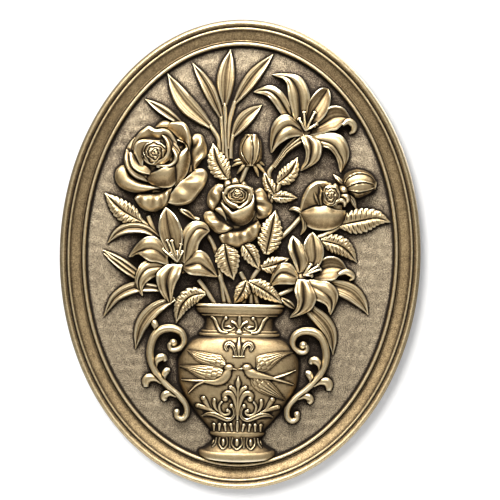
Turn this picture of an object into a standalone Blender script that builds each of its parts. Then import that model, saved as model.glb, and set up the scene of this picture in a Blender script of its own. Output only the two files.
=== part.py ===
"""An oval wall plaque, cast in one piece: a moulded frame round a sunk field, and on the field a
bouquet of roses, lilies and leaves in a two-handled vase, in high relief.

The plaque stands upright, front towards -Y, with its flat back on y = 0 and its centre at the origin.

The frame, the slab and the hanging slot are in real millimetres. The bouquet and the vase are drawn
on the field as (across, up) in millimetres from its centre, for a field FIELD_DRAWN in half size,
with heights above the field. A field of another size stretches the drawing with it.
"""

import bisect
import math

import bmesh
import bpy
from mathutils import Vector

MM = 0.001

# The slab and its frame, from the outer edge inwards
PLAQUE_WIDTH = 300.0
PLAQUE_HEIGHT = 390.0
FIELD_THICKNESS = 8.0
BACK_CHAMFER = 1.2
RIM_HEIGHT = 16.5
RIM_BEAD = 3.2
RIM_GROOVE = 3.8
RIM_GROOVE_DEPTH = 3.2
ARRIS = 1.4
ARRIS_DROP = 1.4
COVE = 8.8
COVE_DEPTH = 4.2
BEAD_GROOVE = 0.7
BEAD_GROOVE_DEPTH = 0.6
INNER_BEAD = 3.2
INNER_BEAD_HEIGHT = 13.2
INNER_STEP = 1.7
RIM_SEGMENTS = 80

# The slot in the back that the head of a screw enters and hangs in
HANG_BELOW_TOP = 60.0
HANG_ENTRY_DIAMETER = 9.5
HANG_SLOT_WIDTH = 4.5
HANG_SLOT_LENGTH = 14.0
HANG_LEDGE = 1.5
HANG_POCKET_DEPTH = 4.0
HANG_SEGMENTS = 16

# How far the slot's cuts start outside the back, and by how much their ends and widths differ, so
# that no two of their faces lie in one plane
CUT_START = 1.0
CUT_STEP = 0.1

# The relief on the field
RELIEF_HEIGHT = 21.5
RELIEF_ROOT = 4.5
ROOT_STEP = 0.012
STEM_RADIUS = 1.3
HANDLE_RADIUS = 2.2
VASE_WIDTH = 101.0
VASE_DEPTH = 16.0
VASE_TAPER = 0.75
VASE_SECTORS = 12
ORNAMENT_RISE = 0.25

# Points closer than a hair are merged, what is thinner than a sliver is dissolved, and this share
# of the joined surface's faces is kept
HAIR = 0.02
SLIVER = 0.001
FACES_KEPT = 0.48

# The sizes that the drawing below is made for
FIELD_DRAWN = (127.2, 172.2)
RELIEF_DRAWN = 21.5
VASE_DRAWN = 101.0

# Where the vase's axis stands in the drawing
VASE_MIDDLE = 0.6

FRAME_WIDTH = RIM_BEAD + RIM_GROOVE + ARRIS + COVE + BEAD_GROOVE + INNER_BEAD + INNER_STEP
ACROSS = (PLAQUE_WIDTH / 2 - FRAME_WIDTH) / FIELD_DRAWN[0]
UP = (PLAQUE_HEIGHT / 2 - FRAME_WIDTH) / FIELD_DRAWN[1]
OUT = RELIEF_HEIGHT / RELIEF_DRAWN
VASE_STRETCH = VASE_WIDTH / VASE_DRAWN

# Sections across a band, as (place from edge to edge, share of its crown)
ROUND = ((-1.0, 0.0), (-0.62, 0.78), (0.0, 1.0), (0.62, 0.78), (1.0, 0.0))
FOLDED = ((-1.0, 0.0), (-0.55, 0.85), (0.0, 0.35), (0.55, 0.85), (1.0, 0.0))
RIDGED = ((-1.0, 0.0), (0.0, 1.0), (1.0, 0.0))

# Rings of a dome, as shares of its half sizes
DOME_RINGS = (1.0, 0.72, 0.3)

# Widths of a leaf from its base to its tip, as shares of the widest
SLENDER = (0.3, 0.75, 1.0, 0.95, 0.6, 0.0)
BROAD = (0.25, 0.85, 1.0, 0.85, 0.5, 0.0)
SEPAL = (0.6, 1.0, 0.0)
CURL = (0.45, 0.75, 1.0, 1.0, 0.7)

BRASS = (0.42, 0.34, 0.20, 1.0)
BRASS_ROUGHNESS = 0.42
EDGE_ANGLE = math.radians(38)


def clear_scene():
    """Remove what the file holds, so that only the plaque is built."""
    for thing in list(bpy.data.objects):
        bpy.data.objects.remove(thing, do_unlink=True)


def spread(values, share):
    """The value at a share, 0 to 1, of the way along evenly spaced values."""
    if len(values) == 1:
        return values[0]
    place = min(max(share, 0.0), 1.0) * (len(values) - 1)
    first = min(int(place), len(values) - 2)
    return values[first] + (values[first + 1] - values[first]) * (place - first)


def line(points, *heights):
    """Points (across, up) with heights spread evenly from the first point to the last."""
    last = len(points) - 1
    return [(p[0], p[1], spread(heights, i / last)) for i, p in enumerate(points)]


def smooth(points, rows, finer=6):
    """rows + 1 points, evenly spaced by length, on a smooth curve through the points."""
    ends = [points[0]] + list(points) + [points[-1]]
    dense = []
    for i in range(len(points) - 1):
        a, b, c, d = (Vector(p) for p in ends[i : i + 4])
        for step in range(finer):
            t = step / finer
            bend = (2 * a - 5 * b + 4 * c - d) * t**2 + (3 * b - a - 3 * c + d) * t**3
            dense.append(0.5 * (2 * b + (c - a) * t + bend))
    dense.append(Vector(points[-1]))
    run = [0.0]
    for a, b in zip(dense, dense[1:]):
        run.append(run[-1] + (b - a).length)
    found = []
    for i in range(rows + 1):
        goal = run[-1] * i / rows
        k = min(max(bisect.bisect_left(run, goal), 1), len(run) - 1)
        share = (goal - run[k - 1]) / max(run[k] - run[k - 1], 1e-9)
        found.append(dense[k - 1].lerp(dense[k], share))
    return found


class Relief:
    """The raised forms of the field, each a closed solid whose walls go down into the slab."""

    def __init__(self):
        self.collection = bpy.data.collections.new("relief")
        bpy.context.scene.collection.children.link(self.collection)
        self.stretch = 1.0

    def place(self, point):
        """A drawn point, (across, up, height above the field), where it really is."""
        return Vector((
            point[0] * ACROSS * self.stretch * MM,
            -(FIELD_THICKNESS + point[2] * OUT) * MM,
            point[1] * UP * MM,
        ))

    def shell(self, grid, closed=False):
        """A solid with the grid of points as its face. closed joins each row's two ends."""
        bm = bmesh.new()
        top = [[bm.verts.new(self.place(p)) for p in row] for row in grid]
        wide = len(top[0])
        spans = range(wide if closed else wide - 1)
        for row, after in zip(top, top[1:]):
            for j in spans:
                k = (j + 1) % wide
                bm.faces.new((row[j], row[k], after[k], after[j]))
        if closed:
            edge = top[0]
            bm.faces.new(top[-1])
        else:
            edge = top[0] + [row[-1] for row in top[1:-1]] + top[-1][::-1]
            edge += [row[0] for row in top[-2:0:-1]]
        # Each form has a root of its own depth, so no two bases lie in one plane.
        depth = FIELD_THICKNESS - RELIEF_ROOT + ROOT_STEP * len(self.collection.objects)
        foot = [bm.verts.new((v.co.x, -depth * MM, v.co.z)) for v in edge]
        for j in range(len(edge)):
            k = (j + 1) % len(edge)
            bm.faces.new((edge[j], edge[k], foot[k], foot[j]))
        bm.faces.new(foot)
        bmesh.ops.remove_doubles(bm, verts=bm.verts, dist=HAIR * MM)
        bmesh.ops.dissolve_degenerate(bm, edges=bm.edges, dist=SLIVER * MM)
        bmesh.ops.recalc_face_normals(bm, faces=bm.faces)
        number = len(self.collection.objects)
        mesh = bpy.data.meshes.new(f"form_{number}")
        bm.to_mesh(mesh)
        bm.free()
        form = bpy.data.objects.new(f"form_{number}", mesh)
        form.hide_render = True
        form.display_type = "WIRE"
        self.collection.objects.link(form)

    def loft(self, *rails, rows=6):
        """A surface over rails, which are lines that run side by side."""
        rails = [smooth(rail, rows) for rail in rails]
        self.shell([[rail[i] for rail in rails] for i in range(rows + 1)])

    def band(self, spine, widths, rise, crown, section=ROUND, rows=6, ground=None):
        """A strip along a spine. rise lists the heights of its edges; crown is what it adds
        between them where the strip is widest. ground gives the height of what it lies on."""
        centre = smooth(line(spine, *rise), rows)
        widest = max(widths)
        grid = []
        for i, point in enumerate(centre):
            before = centre[max(i - 1, 0)]
            after = centre[min(i + 1, rows)]
            ahead = Vector((after.x - before.x, after.y - before.y)).normalized()
            half = spread(widths, i / rows) / 2
            row = []
            for side, share in section:
                across = point.x - ahead.y * side * half
                up = point.y + ahead.x * side * half
                base = ground(across, up) if ground else 0.0
                height = base + point.z + crown * share * (2 * half / widest) ** 0.5
                row.append((across, up, height))
            grid.append(row)
        self.shell(grid)

    def leaf(self, spine, width, rise, crown=1.6, shape=BROAD, section=FOLDED, rows=6, ground=None):
        """A leaf with a sunk midrib."""
        self.band(spine, [width * s for s in shape], rise, crown, section, rows, ground)

    def stem(self, spine, rise, radius=STEM_RADIUS, rows=4):
        """A round stalk, half of it above the heights in rise."""
        self.band(spine, (2 * radius, 2 * radius), rise, radius, RIDGED, rows)

    def dome(self, centre, halves, rise, crown, sectors=12, ground=None):
        """A rounded mound on an oval of the given half sizes."""
        grid = []
        for share in DOME_RINGS:
            ring = []
            for i in range(sectors):
                angle = 2 * math.pi * i / sectors
                across = centre[0] + halves[0] * share * math.cos(angle)
                up = centre[1] + halves[1] * share * math.sin(angle)
                base = ground(across, up) if ground else 0.0
                ring.append((across, up, base + rise + crown * (1 - share**2) ** 0.5))
            grid.append(ring)
        self.shell(grid, closed=True)

    def petal(self, left, middle, right, edges, mids, crown=1.4, rows=6):
        """A lily's petal, from three lines that run from its throat to its tip. The two halves
        swell by crown over the straight line between an edge and the middle."""
        left = smooth(line(left, *edges), rows)
        right = smooth(line(right, *edges), rows)
        middle = smooth(line(middle, *mids), rows)
        grid = []
        for i in range(rows + 1):
            swell = Vector((0, 0, crown * math.sin(math.pi * i / rows) ** 0.5))
            grid.append([
                left[i],
                (left[i] + middle[i]) / 2 + swell,
                middle[i],
                (right[i] + middle[i]) / 2 + swell,
                right[i],
            ])
        self.shell(grid)


def top_fan(relief):
    """The slender leaves that stand above the bouquet, and their stalks."""
    leaves = (
        (((-15.5, 124.5), (-15, 147), (-11.5, 170)), 13.3),
        (((-7, 126), (7, 147), (24, 167)), 10.0),
        (((-8, 98.5), (2, 113), (15.5, 124.5)), 10.8),
        (((-18, 113.5), (-29, 137), (-43, 158.5)), 9.2),
        (((-27, 106), (-49, 126), (-63.5, 149)), 13.3),
        (((-50, 107), (-66, 118), (-81.5, 127.5)), 6.7),
    )
    for spine, width in leaves:
        relief.leaf(spine, width, (3, 4.5, 3.5, 2), shape=SLENDER)
    stalks = (
        ((-15.5, 125), (-14.5, 104), (-13.5, 87), (-10, 60)),
        ((-7, 127), (-11.5, 108), (-11.5, 88)),
        ((-8, 99), (-9.5, 92), (-9.5, 80)),
        ((-18, 114), (-16.5, 100), (-16, 84)),
        ((-27, 106.5), (-20, 95), (-18.5, 82)),
    )
    for spine in stalks:
        relief.stem(spine, (2.5, 2.5))


def low_leaves(relief):
    """The long leaves that spread and droop on both sides of the vase."""
    leaves = (
        (((-68, 13), (-80, 19.5), (-93, 20), (-103, 15.5), (-110.5, 7)), 8.0),
        (((-80, -22), (-100, -9.5), (-114, 0.5)), 7.5),
        (((-62, -31), (-74, -29), (-88, -29.5), (-103, -38), (-112.5, -54)), 8.5),
        (((-54, -38), (-70, -47), (-81, -61), (-85.5, -80.5)), 10.5),
        (((68, -22), (80, -25), (93, -30), (102, -38.5), (107.5, -48)), 13.0),
        (((52, -37), (61, -46), (71, -55.5), (77, -66), (79, -82)), 11.5),
        (((35, -36), (42, -40.5), (47.5, -45)), 4.5),
        (((-38.5, 28.5), (-45, 33.5), (-52, 37)), 5.0),
    )
    for spine, width in leaves:
        relief.leaf(spine, width, (4, 5, 4, 2), shape=SLENDER, rows=8)


def rose_leaves(relief):
    """The short broad leaves between the flowers, with what carries them."""
    leaves = (
        (((-83, 26), (-99, 35), (-113.5, 48.5)), 16.7, 3.5),
        (((-12, 62.5), (-20.5, 76), (-24.5, 91.5)), 17.5, 4.5),
        (((30, 60), (40, 69), (46, 81.5)), 14.2, 3.5),
        (((27.5, 50), (22, 60), (18.5, 69.5)), 9.2, 3.5),
        (((25.5, 48), (35, 48.5), (46.5, 48)), 9.5, 4.0),
        (((21.5, 1), (25, 18), (28.5, 37)), 20.0, 6.0),
        (((82, 26), (99.5, 30), (113, 32.5), (124, 29.5)), 20.5, 3.5),
        (((67, 13), (82, 9.5), (90, 4), (97, -4.5)), 15.5, 3.5),
        (((-28.5, -33), (-40, -35.5), (-48, -44), (-52, -58)), 14.5, 4.0),
        (((18.5, -11), (30, -7.5), (40.5, -2.5)), 13.3, 5.0),
        (((8, -22.5), (22, -30), (35.5, -39.5)), 14.0, 6.0),
        (((5.5, -22), (2.5, -31), (-4, -41)), 12.5, 6.0),
        (((-13, 8), (-10, -6), (-5, -21)), 20.5, 7.0),
        (((2, 9), (9, 0), (16, -12)), 13.5, 6.5),
    )
    for spine, width, height in leaves:
        relief.leaf(spine, width, (height, height + 0.5, height - 0.5, height - 1.5), crown=2.0)
    stalks = (
        ((61, 14), (73, 19.5), (84, 26.5)),
        ((33, 14), (42, 23), (50.5, 33)),
        ((-34, -22), (-28, -30), (-20, -42)),
        ((-28, 17), (-21, 4), (-16, -17), (-12, -42)),
        ((-17, -18), (-12, -30), (-7.5, -42)),
        ((8, -24), (5.5, -32), (3.5, -42)),
        ((8.5, -24), (9.5, -32), (10, -42)),
        ((18, -9), (12, -17), (9, -25)),
        ((9.5, -24), (13, -33), (15.5, -42)),
        ((0.5, -15), (4, -21), (7, -25)),
        ((32, 60), (28, 51), (23.5, 43)),
        ((-83, 26.5), (-76, 20), (-70, 11)),
        ((-77, 30), (-72, 18), (-67, 10)),
        ((-50, 36), (-43, 31), (-35, 28)),
        ((28, -36), (36, -31.5), (46, -27)),
    )
    for spine in stalks:
        relief.stem(spine, (3, 3))


def large_rose(relief):
    """The open rose at the upper left, from its outer petals to its heart."""
    relief.dome((-69, 75), (32, 31), 2.5, 3)
    relief.dome((-66, 105), (6.5, 4.5), 3, 3)
    relief.loft(
        line([(-62, 53), (-57, 56), (-50, 60), (-44, 66), (-40, 71)], 6.5),
        line([(-61, 47), (-56, 48), (-48, 51), (-40, 58), (-35, 70)], 8),
        line([(-60.5, 42.5), (-55.5, 40), (-47, 41), (-38, 47), (-31.5, 58), (-30.5, 68.5)], 5.5),
    )
    relief.loft(
        line([(-91, 81), (-87, 89), (-78, 94), (-69, 95.5), (-61, 91)], 7),
        line([(-96, 81), (-93, 89), (-87, 98), (-79, 104.5), (-72, 102), (-64.5, 102), (-57, 96)], 9, 11, 10),
    )
    lips = (
        (((-60.5, 105.5), (-54, 104), (-48, 99.5), (-46, 92), (-45, 84.5)), (4, 9, 10, 6, 2), 8),
        (((-36.5, 99), (-36, 89.5), (-36.5, 81), (-40, 72.5), (-42, 68)), (5.5, 11, 11, 7, 2), 5),
        (((-87, 45.5), (-80.5, 43), (-72, 42), (-64.5, 45), (-59.5, 50)), (6, 11, 12.5, 11, 5), 6),
        (((-102, 67.5), (-93, 58), (-81, 54.5), (-67.5, 53.5)), (8, 12, 7, 1), 6.5),
    )
    for spine, widths, rise in lips:
        relief.band(spine, widths, (rise - 1, rise, rise - 1), 4)
    relief.loft(
        line([(-98, 82), (-97, 74), (-93.5, 67), (-87, 62.5), (-80, 59)], 8),
        line([(-95.5, 82.5), (-94.5, 75.5), (-91.5, 69.5), (-86.5, 65.5), (-79.5, 62.5)], 13),
        line([(-91.5, 82), (-91, 76.5), (-88, 72), (-83.5, 68), (-78, 65)], 10),
    )
    relief.loft(
        line([(-93, 81), (-92.5, 73.5), (-88, 68), (-82.5, 65), (-77, 62)], 11),
        line([(-90.5, 80.5), (-90.5, 75), (-86, 71), (-81, 69), (-75, 66)], 15.5),
        line([(-87, 80), (-87, 76.5), (-84, 73.5), (-80, 71.5), (-74, 69)], 12.5),
    )
    relief.loft(
        line([(-79, 59.5), (-72.5, 56.5), (-65.5, 54.5), (-56.5, 56.5)], 8),
        line([(-77, 62.5), (-71, 61.5), (-64, 61.5), (-56, 64.5)], 13),
        line([(-75.5, 65.5), (-68.5, 68.5), (-62.5, 72), (-55.5, 73.5)], 16),
        line([(-74.5, 68.5), (-69, 71.5), (-64, 75), (-58, 77.5)], 13),
    )
    relief.loft(
        line([(-57.5, 56), (-50, 60), (-44.5, 66.5), (-42, 75)], 7),
        line([(-57, 65), (-51.5, 68), (-47.5, 72.5), (-44, 79)], 12),
        line([(-56.5, 73), (-52.5, 77.5), (-48.5, 81.5), (-46, 86)], 13.5),
        line([(-59, 76), (-55.5, 80.5), (-52, 84.5), (-50, 90)], 11),
    )
    relief.band(((-56, 95), (-50, 91), (-49, 86), (-52.5, 80)), (3, 6, 6, 3), (9, 9), 3)
    relief.loft(
        line([(-88, 77), (-89, 86), (-84.5, 91.5), (-79, 93), (-70, 92)], 15, 17, 16),
        line([(-79, 78), (-80, 83.5), (-78, 87), (-75, 88.5), (-70, 88.5)], 14),
    )
    relief.loft(
        line([(-67, 98), (-61.5, 93), (-59, 87), (-60, 80), (-65, 74)], 14, 16.5, 15.5),
        line([(-69, 91), (-65.5, 88.5), (-64, 85), (-65, 81), (-68, 77.5)], 14),
    )
    relief.dome((-73, 82), (14, 12), 11.5, 2.5)
    relief.band(
        ((-82, 79), (-78, 75.5), (-71.5, 74), (-65.5, 78.5), (-64.5, 85.5), (-69, 90), (-75, 89)),
        (2.5, 3, 2.5), (14, 15), 3, RIDGED, 12,
    )
    relief.band(
        ((-77, 83.5), (-74, 87), (-68.5, 86), (-68, 81.5), (-73, 79.5)),
        (2, 2.4, 2), (16, 16), 3, RIDGED, 8,
    )
    relief.dome((-72.3, 83.2), (2.4, 2.4), 17, 2.5, 8)


def centre_rose(relief):
    """The rose in the middle of the bouquet."""
    relief.dome((-4, 36), (21, 25), 4, 3)
    relief.dome((-8, 60), (6, 4), 4.5, 3)
    relief.dome((1.5, 58), (4, 3), 4.5, 2, 8)
    lips = (
        (((-15, 58), (-20.5, 49), (-26, 38.5)), (5, 9.5, 6), 5.5),
        (((13, 55.5), (17, 47), (19, 38), (15, 30)), (5, 11, 12, 6), 5.5),
        (((-28, 33), (-20, 26.5), (-13, 22), (-6.5, 20.5)), (7, 12, 9.5, 3), 6.5),
        (((-15, 15.5), (-6, 13), (3, 15), (11, 18.5), (14, 25)), (5, 12, 13.5, 13, 5), 7.5),
    )
    for spine, widths, rise in lips:
        relief.band(spine, widths, (rise - 1, rise, rise - 1), 3.5)
    relief.loft(
        line([(-19.5, 38), (-12, 29), (-3, 24), (6, 25), (12, 31.5), (12.5, 43)], 7),
        line([(-17, 41), (-11, 33.5), (-3, 30.5), (5, 32), (10, 37), (10.8, 45)], 12),
        line([(-16, 44.5), (-12.5, 39), (-7, 35.5), (1, 38), (6.5, 42), (9, 47)], 14),
        line([(-13, 46.5), (-10.5, 42), (-6.5, 39), (0.5, 41.5), (4.5, 45), (6.5, 48.5)], 11.5),
    )
    relief.dome((-3, 48), (10.5, 8.5), 10, 2)
    relief.band(
        ((-9.5, 43.5), (-13, 48.5), (-10, 53), (-4, 55.5), (3, 56), (7.5, 53), (8.3, 46.5)),
        (2.5, 3, 2.5), (12, 12.5), 3, RIDGED, 10,
    )
    relief.band(((-13, 48), (-9, 44), (-2, 40.5), (4.5, 42.5), (8.5, 47)), (2.5, 2.5), (13, 13), 2.5, RIDGED)
    relief.band(
        ((-8, 49), (-5.5, 53), (-0.5, 53.5), (1.5, 49.5), (-2, 46), (-6, 46.5)),
        (2, 2), (13, 13), 2.5, RIDGED, 8,
    )
    relief.dome((-3, 50), (2, 2), 14, 2, 8)


def right_rose(relief):
    """The half-open rose on the right, lying on its side, with two curled sepals."""
    relief.dome((67.5, 42), (17, 19), 4, 4)
    relief.loft(
        line([(50, 36), (51, 46), (55, 54), (61, 60), (69, 62), (77, 59.5)], 6),
        line([(53, 37), (54.5, 45.5), (58, 52), (63.5, 57.5), (69.5, 59), (75.5, 57.5)], 10.5),
        line([(60, 38.5), (61, 45), (63.5, 50), (66.5, 53.5), (70, 55), (74, 55)], 12.5),
    )
    relief.loft(
        line([(50, 36), (55, 29), (61, 24.5), (67.5, 22.5), (75.5, 23.5), (81.5, 28.5), (86, 35)], 5),
        line([(51.5, 37), (57, 33), (64.5, 30), (72, 30.5), (79, 33), (85, 36)], 12),
        line([(52.5, 38), (58.5, 40), (66, 41.5), (71.5, 41.5), (78, 39), (84.5, 37.5)], 14.5),
        line([(54, 40), (59.5, 42), (66, 43.5), (71.5, 43.5), (77, 41.5), (83, 40)], 12),
    )
    relief.dome((75, 50), (8.5, 9), 11.5, 1.5)
    relief.band(
        ((68.5, 55), (67.5, 49), (71, 44), (77, 43.5), (81, 48.5), (79.5, 55), (74, 57.5), (70, 56)),
        (2.2, 2.2), (12.5, 12.5), 2.8, RIDGED, 12,
    )
    relief.band(
        ((72, 53.5), (71.5, 48.5), (75, 46.5), (77.5, 50), (75, 53)),
        (1.8, 1.8), (13, 13), 2.5, RIDGED, 8,
    )
    relief.band(((78, 41.5), (80.5, 45.5), (84, 45.5), (86.5, 40.5)), (3.5, 4, 3.5), (8, 9, 7), 3)
    relief.band(((81.5, 49), (85, 50.5), (87.5, 48.5), (87.5, 44)), (3.5, 4, 3.5), (7, 8, 6), 3)
    relief.leaf(((51.5, 34), (46, 38.5), (40, 35.5)), 4.2, (5, 5, 3), shape=SEPAL, rows=4)
    relief.leaf(((50, 34), (53.5, 27), (50, 18)), 4.6, (5, 5, 3), shape=SEPAL, rows=4)


def buds(relief):
    """Two rosebuds, one above the middle of the bouquet and one at its right."""
    relief.band(((7, 100), (7, 87.5), (7, 74.5)), (8, 16, 18, 15.5, 5), (2, 3, 2), 8)
    relief.stem(((5.5, 76), (2.5, 68.5), (-0.5, 60)), (3, 3))
    for spine in (
        ((4, 75.5), (-2.5, 76.5), (-8.5, 73)),
        ((4, 75), (0, 73.5), (-4, 68.5)),
        ((9, 75), (11.5, 71.5), (13, 66)),
        ((9, 75.5), (13, 76), (17.5, 73)),
    ):
        relief.leaf(spine, 2.6, (3, 4, 2.5), 1, SEPAL, RIDGED, 3)
    relief.band(((86, 57), (92, 60), (101, 61), (112, 60)), (8, 21, 24.5, 22, 10), (2, 3, 2), 9)
    relief.dome((84.5, 54.5), (4.6, 4), 4, 5, 8)
    relief.leaf(((85.5, 58), (81, 63.5), (76, 68)), 2.8, (4, 5, 3), 1, SEPAL, RIDGED, 3)
    relief.leaf(((88.5, 52), (92.5, 46), (95, 40)), 3.2, (4, 5, 3), 1, SEPAL, RIDGED, 3)


def lily_above(relief):
    """The lily at the upper right, with its ribbed trumpet and stalk."""
    relief.dome((50, 102), (7, 7), 3, 3.5)
    relief.band(((51, 100), (38, 89.5), (31.5, 81), (26.5, 73.5)), (11, 7.5, 5, 3.5), (3, 3), 4)
    relief.stem(((27.5, 75.5), (22.5, 68), (24, 55), (22, 43)), (3, 3))
    relief.petal(
        [(51, 108), (53.5, 124.5), (58, 133), (64, 139), (70, 139.5)],
        [(52.5, 107), (57.5, 118.5), (64, 129), (70, 139)],
        [(54.5, 106.5), (64, 112.5), (70, 121), (72, 131), (70.5, 139.5)],
        (6, 9, 9, 4), (5, 6.5, 6, 3), 0,
    )
    relief.petal(
        [(47, 105.5), (42.5, 114.5), (38, 130), (35, 145), (24, 149.5)],
        [(48, 107), (47, 124.5), (44.5, 138), (37, 147.5), (24, 150)],
        [(50, 109), (54, 124), (54, 136), (45, 149), (24, 150.5)],
        (6, 8, 9, 3), (5, 8, 9, 3),
    )
    relief.petal(
        [(38, 111), (31, 118.5), (24.5, 127.5), (18.5, 133), (8.5, 135)],
        [(40, 113), (33.5, 124), (27.5, 132), (19.5, 136.5), (8.5, 135.3)],
        [(42.5, 115), (36.5, 129), (30, 136.5), (21.5, 140.5), (8.5, 135.6)],
        (5, 8, 8, 3), (5, 8, 9, 3),
    )
    relief.petal(
        [(56, 107), (65.5, 116.5), (71, 123), (78, 124.5), (84, 122), (89, 115)],
        [(53, 102.5), (65.5, 109.5), (75, 115), (83.5, 116), (89.5, 114)],
        [(51, 99.5), (65, 102), (72, 104.5), (78, 105.5), (83, 110.5), (90, 113)],
        (6, 9, 9, 7), (5, 7, 7, 7), 0.3,
    )
    relief.band(
        ((83, 109.5), (87.5, 112.5), (92, 109.5), (92, 105), (89, 102.5)),
        (2, 4, 4.5, 3.5, 1), (8, 6, 3), 1.5,
    )
    relief.petal(
        [(55, 99.5), (68.5, 101.5), (76, 102), (83, 99), (87.5, 91), (88, 82), (82, 70)],
        [(55, 97.5), (66.5, 95.5), (75, 92.5), (80.5, 85.5), (84, 77.5), (82, 70)],
        [(55, 95), (64.5, 91.5), (71.5, 90), (77, 84.5), (80, 78), (81.5, 70)],
        (5, 7, 7, 3), (6, 9, 9, 3), rows=7,
    )
    relief.petal(
        [(47.5, 100), (50.5, 93.5), (53, 86.5), (52.5, 79), (48.5, 71)],
        [(53.5, 100), (57, 91.5), (57, 84), (54.5, 76), (49, 70.7)],
        [(59, 98.5), (64.5, 94), (65.5, 87), (62, 78.5), (49.5, 70.5)],
        (7, 9, 9, 3), (7, 9.5, 9.5, 3), 1.8,
    )
    relief.petal(
        [(49, 105.5), (42.5, 112.5), (37, 116), (30, 114.5), (24, 105), (23.5, 85)],
        [(49.5, 103), (40.5, 107.5), (33, 105), (27.5, 98), (24, 85)],
        [(51, 100), (41, 98.5), (34, 95), (28, 90), (24.5, 84.5)],
        (7, 11, 11, 4), (7, 12, 12, 4), 1.8,
    )


def lily_left(relief):
    """The lily at the left of the vase's mouth."""
    relief.dome((-50, -10), (8, 7), 3, 3.5)
    relief.petal(
        [(-61, -7), (-74.5, -6), (-82, -10), (-86, -19.5), (-86, -28), (-80.5, -36)],
        [(-62, -11.5), (-75, -13), (-81.5, -18.5), (-84, -26.5), (-80.5, -36)],
        [(-63, -16), (-72, -20.5), (-78, -25), (-81, -31), (-80, -36)],
        (5, 8, 8, 3), (6, 10, 10, 3),
    )
    relief.petal(
        [(-54, -7), (-63.5, 7), (-67.5, 18.5), (-67, 28.5), (-63, 37.5)],
        [(-52, -7.5), (-56, 6), (-59.5, 19), (-61.5, 29), (-62.5, 37.5)],
        [(-50, -7), (-48.5, 8), (-49, 19.5), (-54.5, 30.5), (-62, 37.5)],
        (7, 11, 11, 6), (5, 8, 8, 6), 0,
    )
    relief.petal(
        [(-48.5, -6.5), (-48, 9.5), (-46.5, 19.5), (-41, 25.5), (-34.5, 26.5), (-29, 24.5), (-25.5, 19)],
        [(-46, -8), (-44, 7), (-39.5, 16.5), (-34, 21), (-26, 19)],
        [(-43, -8.5), (-36.5, 1.5), (-34.5, 8.5), (-31, 14), (-26, 18.5)],
        (7, 10, 10, 7), (8, 12, 12, 7),
    )
    relief.petal(
        [(-46.5, -8), (-41, -2.5), (-35.5, 2), (-29, 0.5), (-24, -6.5), (-19, -18.5)],
        [(-46.5, -11), (-35, -8.5), (-28, -12), (-19, -18.8)],
        [(-46.5, -13), (-41.5, -17), (-31, -18), (-19.5, -19.2)],
        (7, 10, 9, 4), (7, 10.5, 9.5, 4), 1.8,
    )
    relief.petal(
        [(-60, -1), (-66, 9), (-72, 13), (-79, 12), (-85.5, 6.5), (-92, -3)],
        [(-60.5, -5), (-68.5, 1.5), (-76, 3), (-83, 1), (-92.3, -4)],
        [(-59.5, -10), (-68.5, -7.5), (-74.5, -7), (-80, -4), (-85, -1), (-92, -5)],
        (7, 11, 11, 4), (7, 12, 12, 4),
    )
    relief.petal(
        [(-60, -10), (-68, -16.5), (-68.5, -23.5), (-65, -33), (-57.5, -42.5)],
        [(-54.5, -9.5), (-59, -17.5), (-60.5, -25.5), (-59, -34), (-57, -42.8)],
        [(-48, -10), (-50, -18.5), (-53.5, -26), (-55.5, -33.5), (-56.5, -42.5)],
        (8, 11, 10, 4), (8, 11.5, 10.5, 4), 1.8,
    )


def lily_right(relief):
    """The lily at the right of the vase's mouth."""
    relief.dome((50.5, -20), (7.5, 6.5), 3, 3.5)
    relief.petal(
        [(48, -14), (45, -6), (41.5, 1), (40, 8), (43, 16)],
        [(49.5, -14), (48.5, -5), (45.5, 4), (43.3, 16)],
        [(52.5, -13), (56, -4.5), (53.5, 4), (49.5, 11), (43.6, 16)],
        (6, 9, 8, 5), (6, 7, 7, 5),
    )
    relief.petal(
        [(54, -15), (56, -5), (53, 7), (55, 14), (59.5, 19.5)],
        [(56.5, -14), (62, -3.5), (61.5, 8.5), (59.8, 19.5)],
        [(59.5, -13), (66, -7), (69, 2), (67, 11), (60.1, 19.5)],
        (6, 9, 9, 4), (5, 7, 7, 4), 0,
    )
    relief.petal(
        [(59.5, -14), (66.5, -6), (70.5, -1.5), (77, -0.5), (83.5, -3), (88.5, -10)],
        [(53, -18), (63.5, -13.5), (73, -9.5), (82, -9.5), (89, -11.3)],
        [(50.5, -22), (59.5, -21.5), (70, -20), (78, -19.5), (82.5, -15), (88.5, -13)],
        (6, 9, 9, 7), (5, 7, 7, 7), 0.3,
    )
    relief.band(
        ((82.5, -14.5), (87.5, -12.5), (92.5, -14.5), (94, -17.5), (91.5, -19.5)),
        (2, 3.5, 4, 3, 1), (8, 6, 3), 1.5,
    )
    relief.petal(
        [(57, -20), (66, -20.5), (74, -22), (80, -27.5), (81.5, -35), (76.3, -48.5)],
        [(57, -23.5), (65, -27.5), (72.5, -32), (77, -38.5), (76, -48.5)],
        [(57, -27.5), (61, -35), (67, -37.5), (73, -41), (75.7, -48.5)],
        (7, 9, 9, 3), (8, 11, 10, 3),
    )
    relief.petal(
        [(48, -16), (43.5, -8.5), (38, -6.5), (32.5, -8.5), (28, -15), (24.7, -25.3)],
        [(48, -18.5), (39.5, -15), (33, -15.5), (28.5, -20), (25, -25.7)],
        [(48, -21.5), (45, -23.5), (39, -23.5), (31, -24), (25.3, -26.1)],
        (7, 9, 9, 3), (8, 10, 9.5, 3), 1.8,
    )
    relief.petal(
        [(48, -20), (46, -29), (48.5, -37), (47.5, -44.5), (42.3, -51)],
        [(52, -20), (53.5, -30.5), (53.5, -38.5), (50, -46.5), (42.6, -51.4)],
        [(57, -20.5), (62, -29.5), (63.5, -36.5), (58, -45.5), (43, -51.8)],
        (8, 11, 10, 4), (8, 11.5, 10.5, 4), 1.8,
    )


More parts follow.
